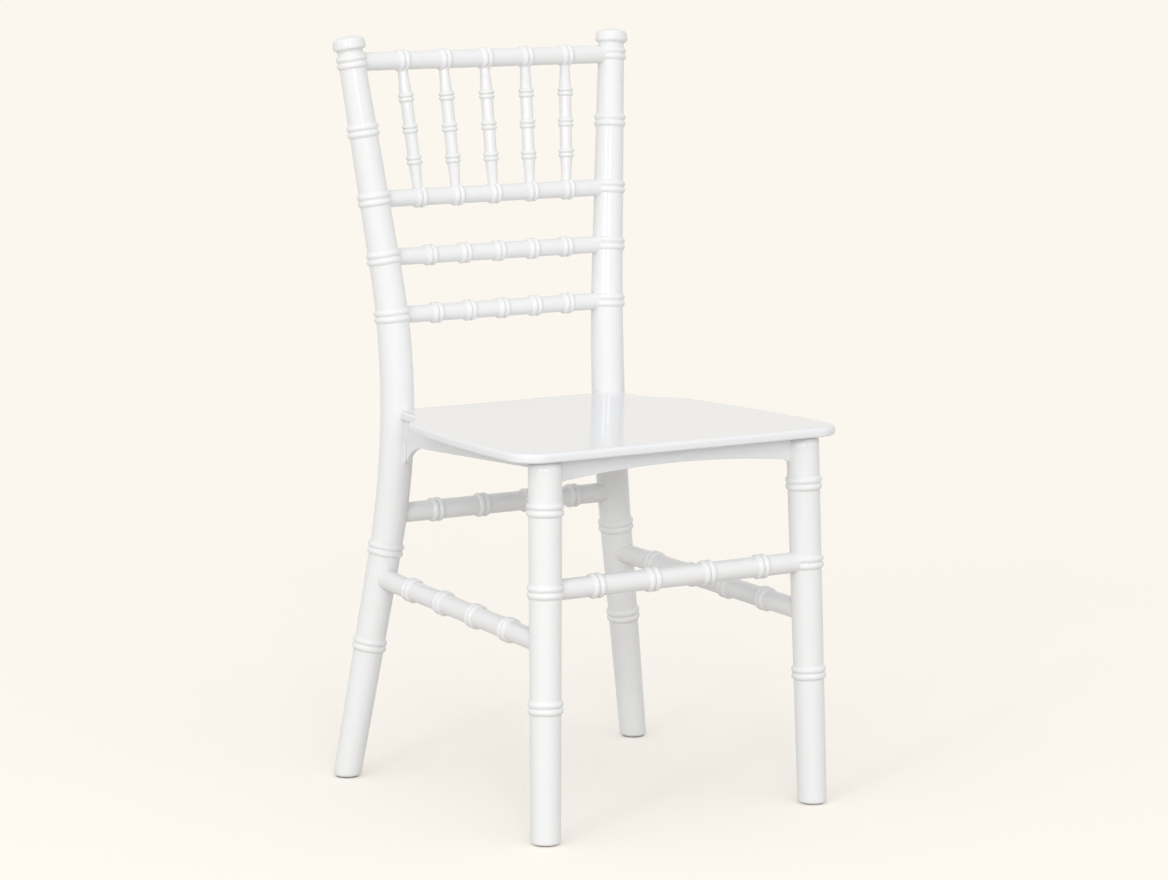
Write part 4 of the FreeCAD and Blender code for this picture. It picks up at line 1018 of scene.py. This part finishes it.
class CHAIR_OT_hardware(bpy.types.Operator):
    """Finish the foot glides and the corner bolts, washers and inserts"""

    bl_idname = "chair.hardware"
    bl_label = "Glides and fasteners"

    def execute(self, context):
        steel = metal("plated_steel", (0.58, 0.58, 0.59), roughness=0.24, line_scale=40.0)
        brass = metal("turned_brass", (0.70, 0.52, 0.24), roughness=0.28, line_scale=60.0)
        plastic = glide_plastic()
        finishes = {"corner_bolts": steel, "corner_washers": steel, "threaded_inserts": brass}
        for word, _ in SIDES:
            finishes[word + "_front_glide"] = plastic
            finishes[word + "_rear_glide"] = plastic
        for name, material in finishes.items():
            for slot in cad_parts[name].material_slots:
                slot.material = material
        return {"FINISHED"}


class CHAIR_OT_stage(bpy.types.Operator):
    """Set up the pale studio: floor, light from all round, two soft lamps and the camera"""

    bl_idname = "chair.stage"
    bl_label = "Studio"

    # Half the floor's width, and where it begins to fade into the backdrop and over what length
    FLOOR_SIZE, FADE_START, FADE_LENGTH = 60.0, 0.5, 1.5
    # The floor as it lights the chair, with its mottling, and as the camera sees it
    FLOOR_COLOURS = ((0.58, 0.565, 0.54), (0.56, 0.545, 0.52))
    FLOOR_SHOWN = (0.80, 0.77, 0.72)
    LAMPS = (("key_left", (-3.08, -1.74, 1.25)), ("key_right", (-1.57, -3.15, 1.25)))
    LAMP_SIZE = 0.5
    LAMP_AIM = (0, 0, 0.3)

    def floor(self, stage):
        """Pale floor that keeps the chair's shadow and fades into the backdrop."""
        bm = bmesh.new()
        bmesh.ops.create_grid(bm, x_segments=1, y_segments=1, size=self.FLOOR_SIZE)
        mesh = bpy.data.meshes.new("floor")
        bm.to_mesh(mesh)
        bm.free()
        floor = bpy.data.objects.new("floor", mesh)
        bpy.context.scene.collection.objects.link(floor)
        material = Material("studio_floor")
        place = material.place()
        mottle = material.noise(place, scale=3.0)
        lit = material.blend(mottle, *(rgba(colour) for colour in self.FLOOR_COLOURS))
        seen = material.seen()
        paler = [channel * stage.floor_glow for channel in stage.backdrop]
        material.surfaced(
            base_color=material.blend(seen, lit, rgba(self.FLOOR_SHOWN)), roughness=0.9,
            emission_color=material.blend(seen, rgba((0, 0, 0)), rgba(paler)),
            emission_strength=1.0)
        far = material.node("ShaderNodeVectorMath", {"operation": "LENGTH"}, [place], output=1)
        share = ((far - self.FADE_START) / self.FADE_LENGTH).limited()
        glow = material.glow("ShaderNodeEmission", stage.backdrop)
        surface = Value(material, material.surface.outputs[0])
        material.finish("Material Output", seen * share, surface, glow)
        mesh.materials.append(material.data)

    def sky(self, stage):
        """Even light from all round, stronger from the camera's side and from above."""
        world = Shader(bpy.data.worlds.new("studio"))
        way = world.place("Generated")
        front = (-0.62, -0.78, 0)
        towards = world.node("ShaderNodeVectorMath", {"operation": "DOT_PRODUCT"}, [way, front], 1)
        above = world.part(way, 2)
        strength = stage.sky + towards.limited() * stage.front_sky + above.limited() * stage.top_sky
        light = world.glow("ShaderNodeBackground", (1.0, 1.0, 1.0), strength)
        shown = world.glow("ShaderNodeBackground", stage.backdrop)
        world.finish("World Output", world.seen(), light, shown)
        bpy.context.scene.world = world.data

    def lamp(self, name, place, power):
        """A square soft lamp that faces the middle of the chair."""
        data = bpy.data.lights.new(name, "AREA")
        data.size = self.LAMP_SIZE
        data.energy = power
        lamp = bpy.data.objects.new(name, data)
        lamp.location = place
        aim = Vector(self.LAMP_AIM) - Vector(place)
        lamp.rotation_euler = aim.to_track_quat("-Z", "Y").to_euler()
        bpy.context.scene.collection.objects.link(lamp)

    def camera(self):
        """Long lens, a little above the seat, to the front left of the chair."""
        yaw, pitch, roll = (math.radians(degrees) for degrees in (33.44, 8.57, 0.29))
        place = Matrix.Translation((-1.7892, -2.7163, 0.7770))
        forward = Vector((
            math.sin(yaw) * math.cos(pitch), math.cos(yaw) * math.cos(pitch), -math.sin(pitch)))
        level = Vector((math.cos(yaw), -math.sin(yaw), 0))
        upright = level.cross(forward)
        right = level * math.cos(roll) + upright * math.sin(roll)
        up = upright * math.cos(roll) - level * math.sin(roll)
        data = bpy.data.cameras.new("camera")
        data.sensor_width = 36.0
        data.lens = 125.05
        camera = bpy.data.objects.new("camera", data)
        camera.matrix_world = place @ Matrix((right, up, -forward)).transposed().to_4x4()
        bpy.context.scene.collection.objects.link(camera)
        bpy.context.scene.camera = camera

    def execute(self, context):
        stage = context.scene.chair_stage
        self.floor(stage)
        self.sky(stage)
        for name, place in self.LAMPS:
            self.lamp(name, place, stage.key / len(self.LAMPS))
        self.camera()
        context.scene.view_settings.view_transform = "Standard"
        return {"FINISHED"}


OPERATORS = (
    CHAIR_OT_rear_posts,
    CHAIR_OT_front_legs,
    CHAIR_OT_back_rails,
    CHAIR_OT_stretchers,
    CHAIR_OT_spindles,
    CHAIR_OT_seat,
    CHAIR_OT_hardware,
    CHAIR_OT_stage,
)
SETTINGS = (
    ("chair_resin", ResinSettings),
    ("chair_members", MemberSettings),
    ("chair_seat", SeatSettings),
    ("chair_stage", StageSettings),
)


class CHAIR_PT_panel(bpy.types.Panel):
    """Sizes, colours and pieces of the chair"""

    bl_label = "Chiavari chair"
    bl_idname = "CHAIR_PT_panel"
    bl_space_type = "VIEW_3D"
    bl_region_type = "UI"
    bl_category = "Chair"

    def draw(self, context):
        for name, settings in SETTINGS:
            box = self.layout.box()
            for field in settings.__annotations__:
                box.prop(getattr(context.scene, name), field)
        for operator in OPERATORS:
            self.layout.operator(operator.bl_idname)


def register():
    for name, settings in SETTINGS:
        bpy.utils.register_class(settings)
        setattr(bpy.types.Scene, name, PointerProperty(type=settings))
    for shown in (*OPERATORS, CHAIR_PT_panel):
        bpy.utils.register_class(shown)


def unregister():
    for shown in reversed((*OPERATORS, CHAIR_PT_panel)):
        bpy.utils.unregister_class(shown)
    for name, settings in reversed(SETTINGS):
        delattr(bpy.types.Scene, name)
        bpy.utils.unregister_class(settings)


def main():
    register()
    for operator in OPERATORS:
        group, name = operator.bl_idname.split(".")
        getattr(getattr(bpy.ops, group), name)()


if __name__ == "__main__":
    main()
